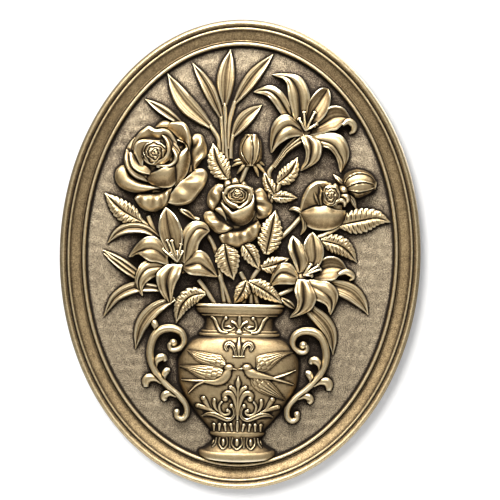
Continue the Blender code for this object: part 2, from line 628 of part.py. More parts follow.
# The vase from its lip to its foot: height on the field, half width, and how far the middle of
# each ring hangs below its ends, as rings seen from a little above do
VASE_PROFILE = (
    (-41.5, 35.3, 0.3), (-43.2, 36.8, 0.3), (-45.5, 35.6, 0.3), (-49.5, 35.0, 0.4),
    (-51.0, 30.6, 0.5), (-57.5, 28.4, 0.6), (-63.5, 30.6, 0.8), (-65.3, 34.2, 0.8),
    (-67.4, 34.2, 0.8), (-68.6, 33.2, 0.8), (-73.5, 42.0, 0.9), (-82.0, 48.6, 1.0),
    (-94.0, 50.5, 1.0), (-107.0, 49.2, 1.0), (-118.0, 44.8, 1.0), (-128.0, 37.8, 1.0),
    (-142.0, 25.6, 1.0), (-147.2, 21.6, 0.6), (-148.2, 22.6, 0.6), (-150.6, 21.8, 0.8),
    (-152.2, 19.6, 1.4), (-156.0, 21.0, 2.0), (-160.4, 25.5, 3.2), (-161.6, 31.4, 4.0),
    (-167.0, 31.8, 4.6),
)


def vase_height(across, up):
    """How far the vase stands above the field at a point of the drawing."""
    rows = VASE_PROFILE
    for (high, wide, _), (low, wide_below, _) in zip(rows, rows[1:]):
        if up >= low:
            share = (high - min(up, high)) / (high - low)
            half = wide + (wide_below - wide) * share
            break
    else:
        half = rows[-1][1]
    inside = max(1 - ((across - VASE_MIDDLE) / half) ** 2, 0.0)
    return vase_depth(half) * inside**0.5


def vase_depth(half):
    """How far a ring of the vase stands out, from its half width."""
    return VASE_DEPTH * (2 * half / VASE_DRAWN) ** VASE_TAPER


def vase_body(relief):
    """The vase, half of a turned form, from its lip to its foot."""
    grid = []
    for up, half, sag in VASE_PROFILE:
        row = []
        for i in range(VASE_SECTORS + 1):
            angle = math.pi * i / VASE_SECTORS
            out = math.sin(angle)
            across = VASE_MIDDLE - half * math.cos(angle)
            row.append((across, up - sag * out, vase_depth(half) * out))
        grid.append(row)
    relief.shell(grid)


def vase_ornament(relief):
    """A lily flower, two swallows beak to beak and a leaf scroll, in low relief on the vase."""

    def strip(spine, widths, crown, rows=4, section=ROUND):
        relief.band(spine, widths, (ORNAMENT_RISE,), crown, section, rows, vase_height)

    def upright(low, high, widths, crown, rows=4, section=ROUND):
        middle = (low + high) / 2
        strip([(VASE_MIDDLE, up) for up in (low, middle, high)], widths, crown, rows, section)

    def both(points, widths, crown, rows=4):
        for side in (1, -1):
            spine = [(VASE_MIDDLE + side * x, y) for x, y in points]
            strip(spine, widths, crown, rows, RIDGED)

    upright(-84.5, -70, (2, 4.5, 1), 1.6)
    both(((2.2, -84), (4.4, -77), (7.6, -74.6), (11, -76.5), (10.2, -80)), (2.2, 2.8, 2.4), 1.5)
    strip(
        ((-6.5, -94.3), (-9.5, -100), (-15, -105), (-22.5, -107.3), (-29.5, -106.8)),
        (5, 9.5, 8.5, 5, 2.2), 2.2,
    )
    strip(((-12, -91), (-23.5, -88), (-34, -85.3), (-42, -80.5)), (7.5, 8.5, 6, 0.8), 1.8)
    strip(((-14, -98), (-25.5, -98.2), (-36.5, -96.5), (-48.3, -94.5)), (10.5, 10.5, 7, 0.8), 1.8)
    strip(((-28.5, -106.6), (-38, -106.8), (-47.3, -105.4)), (2.4, 1.6), 1.3, 3)
    strip(((-28.5, -107), (-35.5, -111.7), (-41, -117)), (2.4, 1.6), 1.3, 3)
    relief.dome((-8.1, -94.7), (4.4, 3.4), 0.4, 2.4, 8, vase_height)
    strip(((-4.5, -94.8), (0.2, -95.6)), (2.2, 1), 1.2, 2)
    strip(((9.5, -93.8), (15.5, -98), (22.5, -100.3), (30.5, -102.2)), (5.5, 8.5, 6, 2.2), 2.2)
    strip(((19, -94), (25, -88.3), (35.2, -84), (46.4, -80.4)), (9, 10, 6, 0.8), 1.8)
    strip(((13, -100), (19.2, -107.4), (28.3, -114.2), (40.4, -120.8)), (9, 10.5, 6.5, 0.8), 1.8)
    strip(((30, -101.8), (40.4, -99), (48.4, -95)), (2.4, 1.6), 1.3, 3)
    strip(((31, -103), (40.5, -106), (46.3, -108)), (2.4, 1.6), 1.3, 3)
    relief.dome((8.6, -93.4), (4.4, 3.4), 0.4, 2.4, 8, vase_height)
    strip(((5.5, -94), (1.4, -95.4)), (2.2, 1), 1.2, 2)
    upright(-112, -102.5, (2.4, 3.4, 1), 1.6, 3)
    upright(-111, -137.5, (2, 2, 1.4), 1.2, 3, RIDGED)
    both(((1.4, -115.5), (4, -111.8), (7.6, -109.6)), (2, 2.6, 1), 1.4, 3)
    both(
        ((0.8, -126), (2, -120), (5.4, -115.9), (9.6, -115.2), (11.6, -118), (9.8, -120.6)),
        (3.4, 3, 2.4), 1.6, 6,
    )
    both(
        ((29, -134.2), (21, -132.7), (12, -136), (6, -137), (2.6, -133), (4, -128), (6, -125.6)),
        (2, 3.6, 2.6, 2.4), 1.6, 9,
    )
    both(((14.8, -126.3), (14.6, -131), (11, -133.6), (8, -132.6), (8.2, -129.8)), (2, 2), 1.4, 5)
    both(((19, -130), (20.5, -121.5)), (2.6, 3.8), 1.4, 2)
    both(((22.5, -128.7), (28.2, -120.6)), (2.6, 4), 1.4, 2)
    both(((23, -130.3), (33.2, -126.8)), (2.4, 3.6), 1.4, 2)


def handles(relief):
    """The two scrolled handles, alike, with a few small leaves on each."""
    path = (
        (-54, -74.3), (-57, -76.5), (-55.5, -80), (-51, -80), (-46.5, -77), (-45, -72), (-47, -66.5),
        (-51.5, -63), (-57.5, -61.8), (-64.5, -63.3), (-70, -68), (-73, -75.5), (-74, -84), (-72, -92.5),
        (-67.5, -100), (-61.5, -107), (-55, -113), (-48.5, -118.3), (-43.3, -124.5), (-41.5, -130),
        (-42.5, -135), (-46, -137.5), (-49.8, -135.5), (-50, -132),
    )
    thickness = (1.1, 0.9, 1.1, 1.3, 1.2, 1.0, 0.9, 0.9, 0.8)
    sprouts = (
        (((-63.5, -108), (-68, -104.8), (-73.3, -104), (-76, -106.7), (-76, -111.3)), 4.8),
        (((-51, -119), (-55.5, -116.7), (-59.3, -117.3), (-60.9, -120), (-59.6, -122.3)), 3.8),
        (((-68.2, -95.8), (-68, -91), (-65.3, -87.3), (-62, -87), (-60, -89.3)), 4.2),
        (((-61, -106.5), (-61, -101.8), (-59, -98), (-56.8, -97)), 3.4),
        (((-69.5, -67.5), (-68.5, -63), (-70, -59), (-72.5, -56)), 3.4),
    )
    for side in (1, -1):
        relief.band(
            [(side * x, y) for x, y in path], [2 * HANDLE_RADIUS * share for share in thickness],
            (5, 6, 5), HANDLE_RADIUS, ROUND, 32,
        )
        for spine, width in sprouts:
            curl = [(side * x, y) for x, y in spine]
            relief.leaf(curl, width, (4.5, 3.5), 1.4, CURL, RIDGED, 4)


def oval(inset, height, segments):
    """Points of the outline moved inwards by inset, at a height above the back."""
    points = []
    for i in range(segments):
        angle = 2 * math.pi * i / segments
        points.append(Vector((
            (PLAQUE_WIDTH / 2 - inset) * math.cos(angle) * MM,
            -height * MM,
            (PLAQUE_HEIGHT / 2 - inset) * math.sin(angle) * MM,
        )))
    return points


def frame_profile():
    """The frame's section as (inset from the outer edge, height above the back). Its two beads
    are rounded by points at shares of their own width."""
    groove_floor = RIM_HEIGHT - RIM_GROOVE_DEPTH
    arris_top = RIM_HEIGHT - ARRIS_DROP
    arris_at = RIM_BEAD + RIM_GROOVE
    cove_at = arris_at + ARRIS
    cove_floor = arris_top - COVE_DEPTH
    groove_at = cove_at + COVE
    bead_at = groove_at + BEAD_GROOVE
    bead_end = bead_at + INNER_BEAD
    bead_foot = cove_floor - BEAD_GROOVE_DEPTH
    return (
        (BACK_CHAMFER, 0.0),
        (0.0, BACK_CHAMFER),
        (0.0, groove_floor),
        (RIM_BEAD * 0.15, RIM_HEIGHT - RIM_BEAD * 0.35),
        (RIM_BEAD * 0.5, RIM_HEIGHT),
        (RIM_BEAD, RIM_HEIGHT - RIM_BEAD * 0.25),
        (RIM_BEAD + RIM_GROOVE * 0.75, groove_floor),
        (arris_at, arris_top),
        (cove_at, arris_top - ARRIS * 0.3),
        (cove_at + COVE * 0.15, cove_floor + COVE_DEPTH * 0.62),
        (cove_at + COVE * 0.85, cove_floor),
        (groove_at, cove_floor),
        (bead_at, bead_foot),
        (bead_at + INNER_BEAD * 0.25, INNER_BEAD_HEIGHT - INNER_BEAD * 0.15),
        (bead_at + INNER_BEAD * 0.65, INNER_BEAD_HEIGHT),
        (bead_end, INNER_BEAD_HEIGHT - INNER_BEAD * 0.4),
        (FRAME_WIDTH, FIELD_THICKNESS),
    )


def slab(material):
    """The frame, the field and the flat back: rings of the section, closed front and back."""
    bm = bmesh.new()
    rings = []
    for inset, height in frame_profile():
        rings.append([bm.verts.new(p) for p in oval(inset, height, RIM_SEGMENTS)])
    for ring, after in zip(rings, rings[1:]):
        for i in range(RIM_SEGMENTS):
            j = (i + 1) % RIM_SEGMENTS
            bm.faces.new((ring[i], ring[j], after[j], after[i]))
    bm.faces.new(rings[0])
    bm.faces.new(rings[-1])
    bmesh.ops.recalc_face_normals(bm, faces=bm.faces)
    mesh = bpy.data.meshes.new("plaque")
    bm.to_mesh(mesh)
    bm.free()
    plaque = bpy.data.objects.new("plaque", mesh)
    plaque.data.materials.append(material)
    bpy.context.scene.collection.objects.link(plaque)
    return plaque


def cutter(collection, name, outline, start, end):
    """A prism with an outline in X and Z, from depth start to depth end into the slab."""
    bm = bmesh.new()
    near = [bm.verts.new((x * MM, -start * MM, z * MM)) for x, z in outline]
    far = [bm.verts.new((x * MM, -end * MM, z * MM)) for x, z in outline]
    for i in range(len(outline)):
        j = (i + 1) % len(outline)
        bm.faces.new((near[i], near[j], far[j], far[i]))
    bm.faces.new(near)
    bm.faces.new(far)
    bmesh.ops.recalc_face_normals(bm, faces=bm.faces)
    mesh = bpy.data.meshes.new(name)
    bm.to_mesh(mesh)
    bm.free()
    thing = bpy.data.objects.new(name, mesh)
    thing.hide_render = True
    thing.display_type = "WIRE"
    collection.objects.link(thing)


def round_slot(width, length, low):
    """An upright slot with round ends, its lower end's centre at height low."""
    points = []
    for i in range(HANG_SEGMENTS + 1):
        angle = math.pi * i / HANG_SEGMENTS
        points.append((width / 2 * math.cos(angle), low + length + width / 2 * math.sin(angle)))
    for i in range(HANG_SEGMENTS + 1):
        angle = math.pi + math.pi * i / HANG_SEGMENTS
        points.append((width / 2 * math.cos(angle), low + width / 2 * math.sin(angle)))
    return points


def hanging_slot():
    """A keyhole in the back: a round entry, a slot above it, and a pocket behind both."""
    collection = bpy.data.collections.new("hanging_slot")
    bpy.context.scene.collection.children.link(collection)
    low = PLAQUE_HEIGHT / 2 - HANG_BELOW_TOP
    through = (HANG_LEDGE + HANG_POCKET_DEPTH) / 2
    entry = []
    for i in range(2 * HANG_SEGMENTS):
        angle = math.pi * (i + 0.5) / HANG_SEGMENTS
        entry.append((
            HANG_ENTRY_DIAMETER / 2 * math.cos(angle),
            low + HANG_ENTRY_DIAMETER / 2 * math.sin(angle),
        ))
    cutter(collection, "entry", entry, -CUT_START, through)
    slot = round_slot(HANG_SLOT_WIDTH, HANG_SLOT_LENGTH, low)
    cutter(collection, "slot", slot, -CUT_START, through + CUT_STEP)
    pocket = round_slot(HANG_ENTRY_DIAMETER + 2 * CUT_STEP, HANG_SLOT_LENGTH, low)
    cutter(collection, "pocket", pocket, HANG_LEDGE, HANG_POCKET_DEPTH)
    return collection


def combine(plaque, collection, operation):
    """Add a Boolean with every object of a collection."""
    modifier = plaque.modifiers.new(operation.lower(), "BOOLEAN")
    modifier.operation = operation
    modifier.operand_type = "COLLECTION"
    modifier.collection = collection
    modifier.solver = "EXACT"


def take_result(plaque, helpers):
    """Take what the modifiers make as the plaque's own mesh, and remove the helpers."""
    graph = bpy.context.evaluated_depsgraph_get()
    mesh = bpy.data.meshes.new_from_object(plaque.evaluated_get(graph))
    plaque.modifiers.clear()
    plaque.data = mesh
    for helper in list(helpers.objects):
        bpy.data.objects.remove(helper, do_unlink=True)
    bpy.data.collections.remove(helpers)
    return mesh


def clean_joins(mesh):
    """Merge what lies within a hair where forms meet, and close up edges where they only touch."""
    bm = bmesh.new()
    bm.from_mesh(mesh)
    bmesh.ops.remove_doubles(bm, verts=bm.verts, dist=HAIR * MM)
    bmesh.ops.triangulate(bm, faces=bm.faces)
    touching = [edge for edge in bm.edges if len(edge.link_faces) > 2]
    bmesh.ops.collapse(bm, edges=touching)
    loose = [edge for edge in bm.edges if not edge.link_faces]
    bmesh.ops.delete(bm, geom=loose, context="EDGES")
    bmesh.ops.dissolve_degenerate(bm, edges=bm.edges, dist=SLIVER * MM)
    bmesh.ops.triangulate(bm, faces=bm.faces)
    bm.to_mesh(mesh)
    bm.free()


def finish(mesh):
    """Triangles, shaded smooth but for the true edges."""
    bm = bmesh.new()
    bm.from_mesh(mesh)
    bmesh.ops.dissolve_degenerate(bm, edges=bm.edges, dist=SLIVER * MM)
    bmesh.ops.triangulate(bm, faces=bm.faces)
    bm.to_mesh(mesh)
    bm.free()
    mesh.name = "plaque"
    mesh.shade_smooth()
    mesh.set_sharp_from_angle(angle=EDGE_ANGLE)


def brass():
    """Antique brass."""
    material = bpy.data.materials.new("antique_brass")
    material.use_nodes = True
    shader = material.node_tree.nodes["Principled BSDF"]
    shader.inputs["Base Color"].default_value = BRASS
    shader.inputs["Metallic"].default_value = 1.0
    shader.inputs["Roughness"].default_value = BRASS_ROUGHNESS
    return material


def build():
    """The plaque: the slab, the relief joined to it, then the slot cut into its back."""
    clear_scene()
    plaque = slab(brass())
    relief = Relief()
    top_fan(relief)
    low_leaves(relief)
    rose_leaves(relief)
    large_rose(relief)
    centre_rose(relief)
    right_rose(relief)
    buds(relief)
    lily_above(relief)
    lily_left(relief)
    lily_right(relief)
    relief.stretch = VASE_STRETCH
    vase_body(relief)
    vase_ornament(relief)
    handles(relief)
    combine(plaque, relief.collection, "UNION")
    clean_joins(take_result(plaque, relief.collection))
    plaque.modifiers.new("thin_out", "DECIMATE").ratio = FACES_KEPT
    slot = hanging_slot()
    combine(plaque, slot, "DIFFERENCE")
    finish(take_result(plaque, slot))


build()
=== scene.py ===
"""The relief plaque, dressed: the frame and the stippled field, and on it the roses, the lilies, the
leaves and the vase in fine relief, in antique brass.

The relief is drawn on the field as (across, up, height above the field) in millimetres from the
plaque's centre, and each form is a closed shell whose walls go down into the field. Where forms
meet they are joined into one surface. The recesses are darkened, partly as patina and partly as
painted shade where light is shut out, and raised edges are lightened, partly as rubbed wear and
partly as painted highlights: both are worked out from the finished relief and stored as
attributes of its points.
"""

import math

import bmesh
import bpy
import numpy as np
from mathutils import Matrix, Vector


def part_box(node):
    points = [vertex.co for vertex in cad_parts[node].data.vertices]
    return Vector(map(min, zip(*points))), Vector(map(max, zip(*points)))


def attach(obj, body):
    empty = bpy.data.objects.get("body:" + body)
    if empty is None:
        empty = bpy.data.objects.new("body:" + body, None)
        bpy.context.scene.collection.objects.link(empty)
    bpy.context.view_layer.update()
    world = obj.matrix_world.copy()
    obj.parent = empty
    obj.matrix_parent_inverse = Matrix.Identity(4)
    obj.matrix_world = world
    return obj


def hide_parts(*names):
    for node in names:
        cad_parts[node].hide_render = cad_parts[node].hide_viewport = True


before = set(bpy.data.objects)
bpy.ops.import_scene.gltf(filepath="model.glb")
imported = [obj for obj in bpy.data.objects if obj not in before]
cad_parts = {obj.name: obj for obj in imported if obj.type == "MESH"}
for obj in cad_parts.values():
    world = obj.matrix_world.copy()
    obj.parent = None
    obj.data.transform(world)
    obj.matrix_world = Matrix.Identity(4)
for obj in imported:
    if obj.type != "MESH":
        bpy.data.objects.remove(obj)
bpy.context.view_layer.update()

MM = 0.001
LOW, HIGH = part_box("plaque")

# The oval, the field's height above the back, and the frame's section: (distance in from the
# outer edge, height above the back)
HALF_WIDTH = (HIGH[0] - LOW[0]) / 2 / MM
HALF_HEIGHT = 195.0
FIELD = 8.0
FRAME_SECTION = (
    (1.2, 0.0), (0.0, 1.2), (0.0, 11.6), (0.25, 13.2), (0.7, 14.4), (1.3, 15.4), (2.0, 16.1),
    (2.8, 16.5), (3.5, 16.3), (4.2, 15.8), (5.2, 15.0), (5.9, 14.5), (6.4, 14.4), (6.8, 14.9),
    (7.1, 15.1), (7.7, 15.1), (8.2, 14.7), (8.7, 14.1), (9.4, 13.6), (10.6, 13.05), (12.0, 12.45),
    (13.4, 11.85), (14.8, 11.3), (16.0, 10.9), (16.9, 10.8), (17.4, 11.2), (17.8, 11.2), (18.1, 10.4),
    (18.4, 11.4), (18.8, 12.5), (19.4, 13.1), (20.1, 13.2), (20.8, 12.8), (21.3, 11.9), (21.7, 10.4),
    (22.0, 8.4), (22.8, 8.0),
)
FRAME_WIDTH = FRAME_SECTION[-1][0]
FRAME_SEGMENTS = 560
FIELD_RINGS = 126
FIELD_END = 0.988

# The hammered field's grain: each noise's depth, size and seed
HAMMERED = ((0.12, 7.0, 4), (0.06, 3.4, 9))

# The keyhole slot in the back: where its round entry is, its sizes, and its ledge and pocket
ENTRY_BELOW_TOP = 60.0
ENTRY_WIDTH = 9.5
SLOT_WIDTH = 4.5
SLOT_RUN = 14.0
POCKET_WIDTH = 9.7
LEDGE = 1.5
POCKET_END = 4.0

# The round edge that every form gets, as shares (outwards, downwards) of its radius, how deep
# its walls go, and how much deeper each next form of a piece goes, so that no bottoms meet
EDGE_ROUND = 0.35
EDGE_STEPS = ((0.5, 0.15), (0.9, 0.55), (1.0, 1.2))
ROOT_OUT = 1.2
ROOT = 2.0
ROOT_STEP = 0.01

# A form's points closer than WELD are joined, and its edges shorter than SLIVER dissolved
WELD = 0.004
SLIVER = 0.0005

# The map of heights from which patina and painted shade, and wear and painted highlights, are
# worked out, and how much finer than its cells, and up to how many times finer than its grid, a
# form is entered in it
MAP_STEP = 0.4
MAP_HALF = (156.0, 202.0)
MAP_FINER = 1.5
MAP_MOST_STEPS = 8

# A serrated leaf: how far its side veins run forwards on their way out, in spaces between them,
# which share of a tooth slopes outwards, how deep teeth are cut, and where they end
VEIN_LEAN = 1.1
TOOTH_SLOPE = 0.8
TOOTH_DEPTH = 0.15
TOOTH_END = 0.96


def spread(values, share):
    """Values at shares, 0 to 1, on a smooth curve through evenly spaced values."""
    values = np.asarray(values, float)
    share = np.clip(np.asarray(share, float), 0, 1) * (len(values) - 1)
    first = np.minimum(share.astype(int), len(values) - 2)
    t = share - first
    padded = np.concatenate([values[:1], values, values[-1:]])
    a, b, c, d = (padded[first + k] for k in range(4))
    if values.ndim > 1:
        t = t[:, None]
    bend = (2 * a - 5 * b + 4 * c - d) * t**2 + (3 * b - a - 3 * c + d) * t**3
    return 0.5 * (2 * b + (c - a) * t + bend)


def line(points, *heights):
    """Points (across, up) with heights spread evenly from the first point to the last."""
    if len(heights) == 1:
        heights = heights * 2
    shares = np.linspace(0, 1, len(points))
    lifted = np.interp(shares, np.linspace(0, 1, len(heights)), heights)
    return np.column_stack([np.asarray(points, float), lifted])


def curve(points, count):
    """count points, evenly spaced by length, on a smooth curve through the points."""
    dense = spread(np.asarray(points, float), np.linspace(0, 1, 12 * len(points)))
    run = np.concatenate([[0], np.cumsum(np.linalg.norm(np.diff(dense, axis=0), axis=1))])
    goals = np.linspace(0, run[-1], count)
    return np.column_stack([np.interp(goals, run, dense[:, k]) for k in range(dense.shape[1])])


def bump(x, centre, width):
    """A smooth bump of height 1."""
    return np.exp(-(((x - centre) / width) ** 2))


def ground_noise(x, z, size, seed):
    """Smooth noise of about -1 to 1 from a few crossing waves."""
    rng = np.random.default_rng(seed)
    total = np.zeros_like(x)
    for _ in range(14):
        angle = rng.uniform(0, math.pi)
        phase = rng.uniform(0, 2 * math.pi)
        wave = 2 * math.pi / (size * rng.uniform(0.7, 1.6))
        total += np.sin(wave * (x * math.cos(angle) + z * math.sin(angle)) + phase)
    return total / 3.7


def refined(grid):
    """The grid with more rows in between, until they lie closer than the map's cells."""
    rows = len(grid)
    span = np.abs(np.diff(grid, axis=0))[..., :2].max(initial=0)
    steps = int(min(MAP_MOST_STEPS, max(1, math.ceil(span / MAP_STEP * MAP_FINER))))
    if rows < 2 or steps < 2:
        return grid
    at = np.linspace(0, rows - 1, (rows - 1) * steps + 1)
    low = np.minimum(at.astype(int), rows - 2)
    t = (at - low)[:, None, None]
    return grid[low] * (1 - t) + grid[low + 1] * t


def mesh_object(name, points, faces, weld=False):
    """An object from points (across, up, height above the back), its faces turned outwards."""
    mesh = bpy.data.meshes.new(name)
    place = np.column_stack([points[:, 0], -points[:, 2], points[:, 1]]) * MM
    mesh.from_pydata(place.tolist(), [], faces)
    bm = bmesh.new()
    bm.from_mesh(mesh)
    if weld:
        bmesh.ops.remove_doubles(bm, verts=bm.verts, dist=WELD * MM)
        bmesh.ops.dissolve_degenerate(bm, edges=bm.edges, dist=SLIVER * MM)
    bmesh.ops.recalc_face_normals(bm, faces=bm.faces)
    bm.to_mesh(mesh)
    bm.free()
    return bpy.data.objects.new(name, mesh)


def apply_modifiers(thing):
    graph = bpy.context.evaluated_depsgraph_get()
    mesh = bpy.data.meshes.new_from_object(thing.evaluated_get(graph))
    thing.modifiers.clear()
    thing.data = mesh


def quads(rows, columns, closed):
    """The faces of a grid of numbered points. closed joins each row's two ends."""
    number = np.arange(rows * columns).reshape(rows, columns)
    right = np.roll(number, -1, axis=1) if closed else number[:, 1:]
    left = number if closed else number[:, :-1]
    faces = np.stack([left[:-1], right[:-1], right[1:], left[1:]], axis=-1).reshape(-1, 4)
    return number, [tuple(face) for face in faces.tolist()]


def along(points):
    """The directions, of length 1, in which a line of points runs."""
    ahead = np.gradient(points[:, :2], axis=0)
    return ahead / np.linalg.norm(ahead, axis=1)[:, None]


class HeightMap:
    """The plaque's height above its back, on a square raster."""

    def __init__(self):
        self.shape = tuple(int(2 * half / MAP_STEP) + 1 for half in MAP_HALF)
        self.height = np.zeros(self.shape)

    def cell(self, x, z):
        i = np.clip(((x + MAP_HALF[0]) / MAP_STEP + 0.5).astype(int), 0, self.shape[0] - 1)
        j = np.clip(((z + MAP_HALF[1]) / MAP_STEP + 0.5).astype(int), 0, self.shape[1] - 1)
        return i, j

    def add(self, grid):
        """Enter a grid of points (rows, columns, 3), with points between them as well."""
        fine = refined(refined(grid).swapaxes(0, 1)).swapaxes(0, 1)
        i, j = self.cell(fine[..., 0], fine[..., 1])
        np.maximum.at(self.height, (i, j), fine[..., 2])

    def at(self, x, z):
        i, j = self.cell(x, z)
        return self.height[i, j]


heights = HeightMap()


class Piece:
    """A piece of the plaque, gathered from closed shells that are then joined."""

    def __init__(self, name):
        self.name = name
        self.shells = []

    def shell(self, grid, closed=False):
        """A closed form whose face is the grid of points (rows, columns, 3). closed joins each
        row's two ends, and the last row is then filled."""
        heights.add(grid + (0, 0, FIELD))
        number, faces = quads(*grid.shape[:2], closed)
        if closed:
            edge = number[0]
        else:
            edge = np.concatenate([number[0], number[1:, -1], number[-1, -2::-1], number[-2:0:-1, 0]])
        points = grid.reshape(-1, 3)
        rim = points[edge]
        # Where the rim's points nearly coincide, as at a tip, they share one direction
        apart = np.linalg.norm(rim - np.roll(rim, 1, axis=0), axis=1) > 0.02
        stands_for = np.maximum(np.cumsum(apart) - 1, 0)
        lone = rim[apart]
        area = np.sum(lone[:, 0] * np.roll(lone[:, 1], -1) - np.roll(lone[:, 0], -1) * lone[:, 1])
        ahead = np.roll(lone, -1, axis=0)[:, :2] - np.roll(lone, 1, axis=0)[:, :2]
        ahead /= np.maximum(np.linalg.norm(ahead, axis=1), 1e-6)[:, None]
        outward = np.column_stack([ahead[:, 1], -ahead[:, 0]]) * (1 if area > 0 else -1)
        outward = outward[stands_for]
        rings = [points]
        if closed:
            faces.append(tuple(number[-1].tolist()))
        before = edge
        count = len(points)
        bottom = -ROOT - ROOT_STEP * len(self.shells)
        for out, down in EDGE_STEPS + ((ROOT_OUT, None),):
            ring = rim.copy()
            ring[:, :2] += outward * out * EDGE_ROUND
            ring[:, 2] = bottom if down is None else rim[:, 2] - down * EDGE_ROUND
            rings.append(ring)
            after = np.arange(count, count + len(rim))
            count += len(rim)
            wall = np.stack([before, np.roll(before, -1), np.roll(after, -1), after], axis=-1)
            faces += [tuple(q) for q in wall.tolist()]
            before = after
        faces.append(tuple(before.tolist()))
        self.shells.append((np.concatenate(rings), faces))

    def loft(self, *rails, rows=40, columns=26, detail=None, ground=None):
        """A surface over rails, which are lines that run side by side."""
        rails = np.stack([curve(rail, rows) for rail in rails])
        grid = spread(rails.reshape(len(rails), -1), np.linspace(0, 1, columns))
        grid = grid.reshape(columns, rows, 3).transpose(1, 0, 2)
        if detail:
            s, t = np.meshgrid(np.linspace(0, 1, rows), np.linspace(0, 1, columns), indexing="ij")
            grid[..., 2] += detail(s, t)
        if ground:
            grid[..., 2] += ground(grid[..., 0], grid[..., 1])
        self.shell(grid)

    def band(self, spine, widths, rise, crown, section=None, rows=36, columns=17, detail=None,
             teeth=0, ground=None):
        """A strip along a spine. rise lists the heights of its edges; crown is what the section
        adds between them where the strip is widest. ground is the height of what it lies on."""
        section = section or rounded
        centre = curve(line(spine, *rise), rows)
        s = np.linspace(0, 1, rows)
        half = np.maximum(spread(widths, s), 0) / 2
        ahead = along(centre)
        t = np.sin(np.linspace(-1, 1, columns) * math.pi / 2)
        s, t = np.meshgrid(s, t, indexing="ij")
        reach = half[:, None] * t
        if teeth:
            step = (s * teeth - VEIN_LEAN) % 1.0
            back = (step - TOOTH_SLOPE) / (1 - TOOTH_SLOPE)
            notch = np.where(step < TOOTH_SLOPE, 1 - step / TOOTH_SLOPE, back)
            reach = reach * (1 - TOOTH_DEPTH * np.abs(t) ** 3 * notch * (s < TOOTH_END))
        grid = np.empty(s.shape + (3,))
        grid[..., 0] = centre[:, None, 0] - ahead[:, None, 1] * reach
        grid[..., 1] = centre[:, None, 1] + ahead[:, None, 0] * reach
        swell = np.sqrt(2 * half / max(widths))[:, None]
        grid[..., 2] = centre[:, None, 2] + crown * section(t) * swell
        if detail:
            grid[..., 2] += detail(s, t) * swell
        if ground:
            grid[..., 2] += ground(grid[..., 0], grid[..., 1])
        self.shell(grid)

    def stem(self, spine, rise, radius=1.3):
        """A round stalk, half of it above the heights in rise."""
        self.band(spine, (2 * radius, 2 * radius), rise, radius, rows=18, columns=9)

    def dome(self, centre, halves, rise, crown, sectors=40, rings=9, ground=None, detail=None):
        """A rounded mound on an oval of the given half sizes."""
        share = np.cos(np.linspace(0, 1, rings) * math.pi / 2 * 0.94)
        angle = np.linspace(0, 2 * math.pi, sectors, endpoint=False)
        share, angle = np.meshgrid(share, angle, indexing="ij")
        grid = np.empty(share.shape + (3,))
        grid[..., 0] = centre[0] + halves[0] * share * np.cos(angle)
        grid[..., 1] = centre[1] + halves[1] * share * np.sin(angle)
        grid[..., 2] = rise + crown * np.sqrt(1 - share**2)
        if detail:
            grid[..., 2] += detail(share, angle)
        if ground:
            grid[..., 2] += ground(grid[..., 0], grid[..., 1])
        self.shell(grid, closed=True)

    def petal(self, left, middle, right, edges, mids, crown=1.4, rows=48, columns=27, wave=0.5):
        """A lily's petal, from three lines that run from its throat to its tip, with fine
        lengthwise folds and a waved edge."""
        left = curve(line(left, *edges), 12)
        right = curve(line(right, *edges), 12)
        middle = curve(line(middle, *mids), 12)
        left[-1] = right[-1] = middle[-1]
        swell = np.zeros((12, 3))
        swell[:, 2] = crown * np.sqrt(np.sin(np.linspace(0, 1, 12) * math.pi).clip(0))
        seed = left[3, 0] + right[5, 1]

        def folds(s, t):
            side = 2 * np.abs(t - 0.5)
            fade = np.sin(math.pi * s.clip(0, 1)) ** 0.7
            rim = 0.55 * bump(side, 0.93, 0.07)
            lines = 0.14 * np.cos(2 * math.pi * 3.5 * side) * (1 - side)
            waves = wave * np.sin(2 * math.pi * (3.2 * s + np.where(t < 0.5, 0.0, 0.4)) + seed) * side**3
            crease = -0.85 * bump(side, 0, 0.08)
            return fade * (rim + lines + waves + crease)

        self.loft(
            left, (left + middle) / 2 + swell, middle, (right + middle) / 2 + swell, right,
            rows=rows, columns=columns, detail=folds,
        )

    def crescent(self, base, rim, low, high, thick=0.9, drop=1.6, swell=0.0, flutes=0.0, depth=0.0,
                 rows=48):
        """A petal from its base line out to its rim, which rolls over there. low and high are the
        heights along the two lines. Both lines start and end in about the same places."""
        base = curve(line(base, *low), rows)
        rim = curve(line(rim, *high), rows)
        s = np.linspace(0, 1, rows)
        taper = np.sin(math.pi * s).clip(0) ** 0.55
        ahead = along(rim)
        outward = np.column_stack([ahead[:, 1], -ahead[:, 0]])
        if np.sum(outward * (rim[:, :2] - base[:, :2])) < 0:
            outward = -outward
        width = np.linalg.norm(rim[:, :2] - base[:, :2], axis=1)
        roll = np.minimum(thick, 0.45 * width) * np.minimum(1, 4 * np.minimum(s, 1 - s))
        crest = rim[:, :2] - outward * roll[:, None]
        lift = (rim[:, 2] - base[:, 2]) * taper
        columns = []
        for t in np.linspace(0, 1, 13):
            place = base[:, :2] * (1 - t) + crest * t
            ripple = depth * np.cos(2 * math.pi * flutes * s) * math.sin(math.pi * t * 0.7)
            lip = 0.3 * bump(t, 1.0, 0.07)
            height = base[:, 2] + lift * math.sin(math.pi / 2 * t)
            height += taper * (swell * math.sin(math.pi * t) + ripple + lip)
            columns.append(np.column_stack([place, height]))
        top = columns[-1][:, 2]
        for turn in np.linspace(0, math.pi / 2, 6)[1:]:
            place = crest + outward * (roll * math.sin(turn))[:, None]
            columns.append(np.column_stack([place, top - taper * drop * (1 - math.cos(turn))]))
        self.shell(np.stack(columns, axis=1))

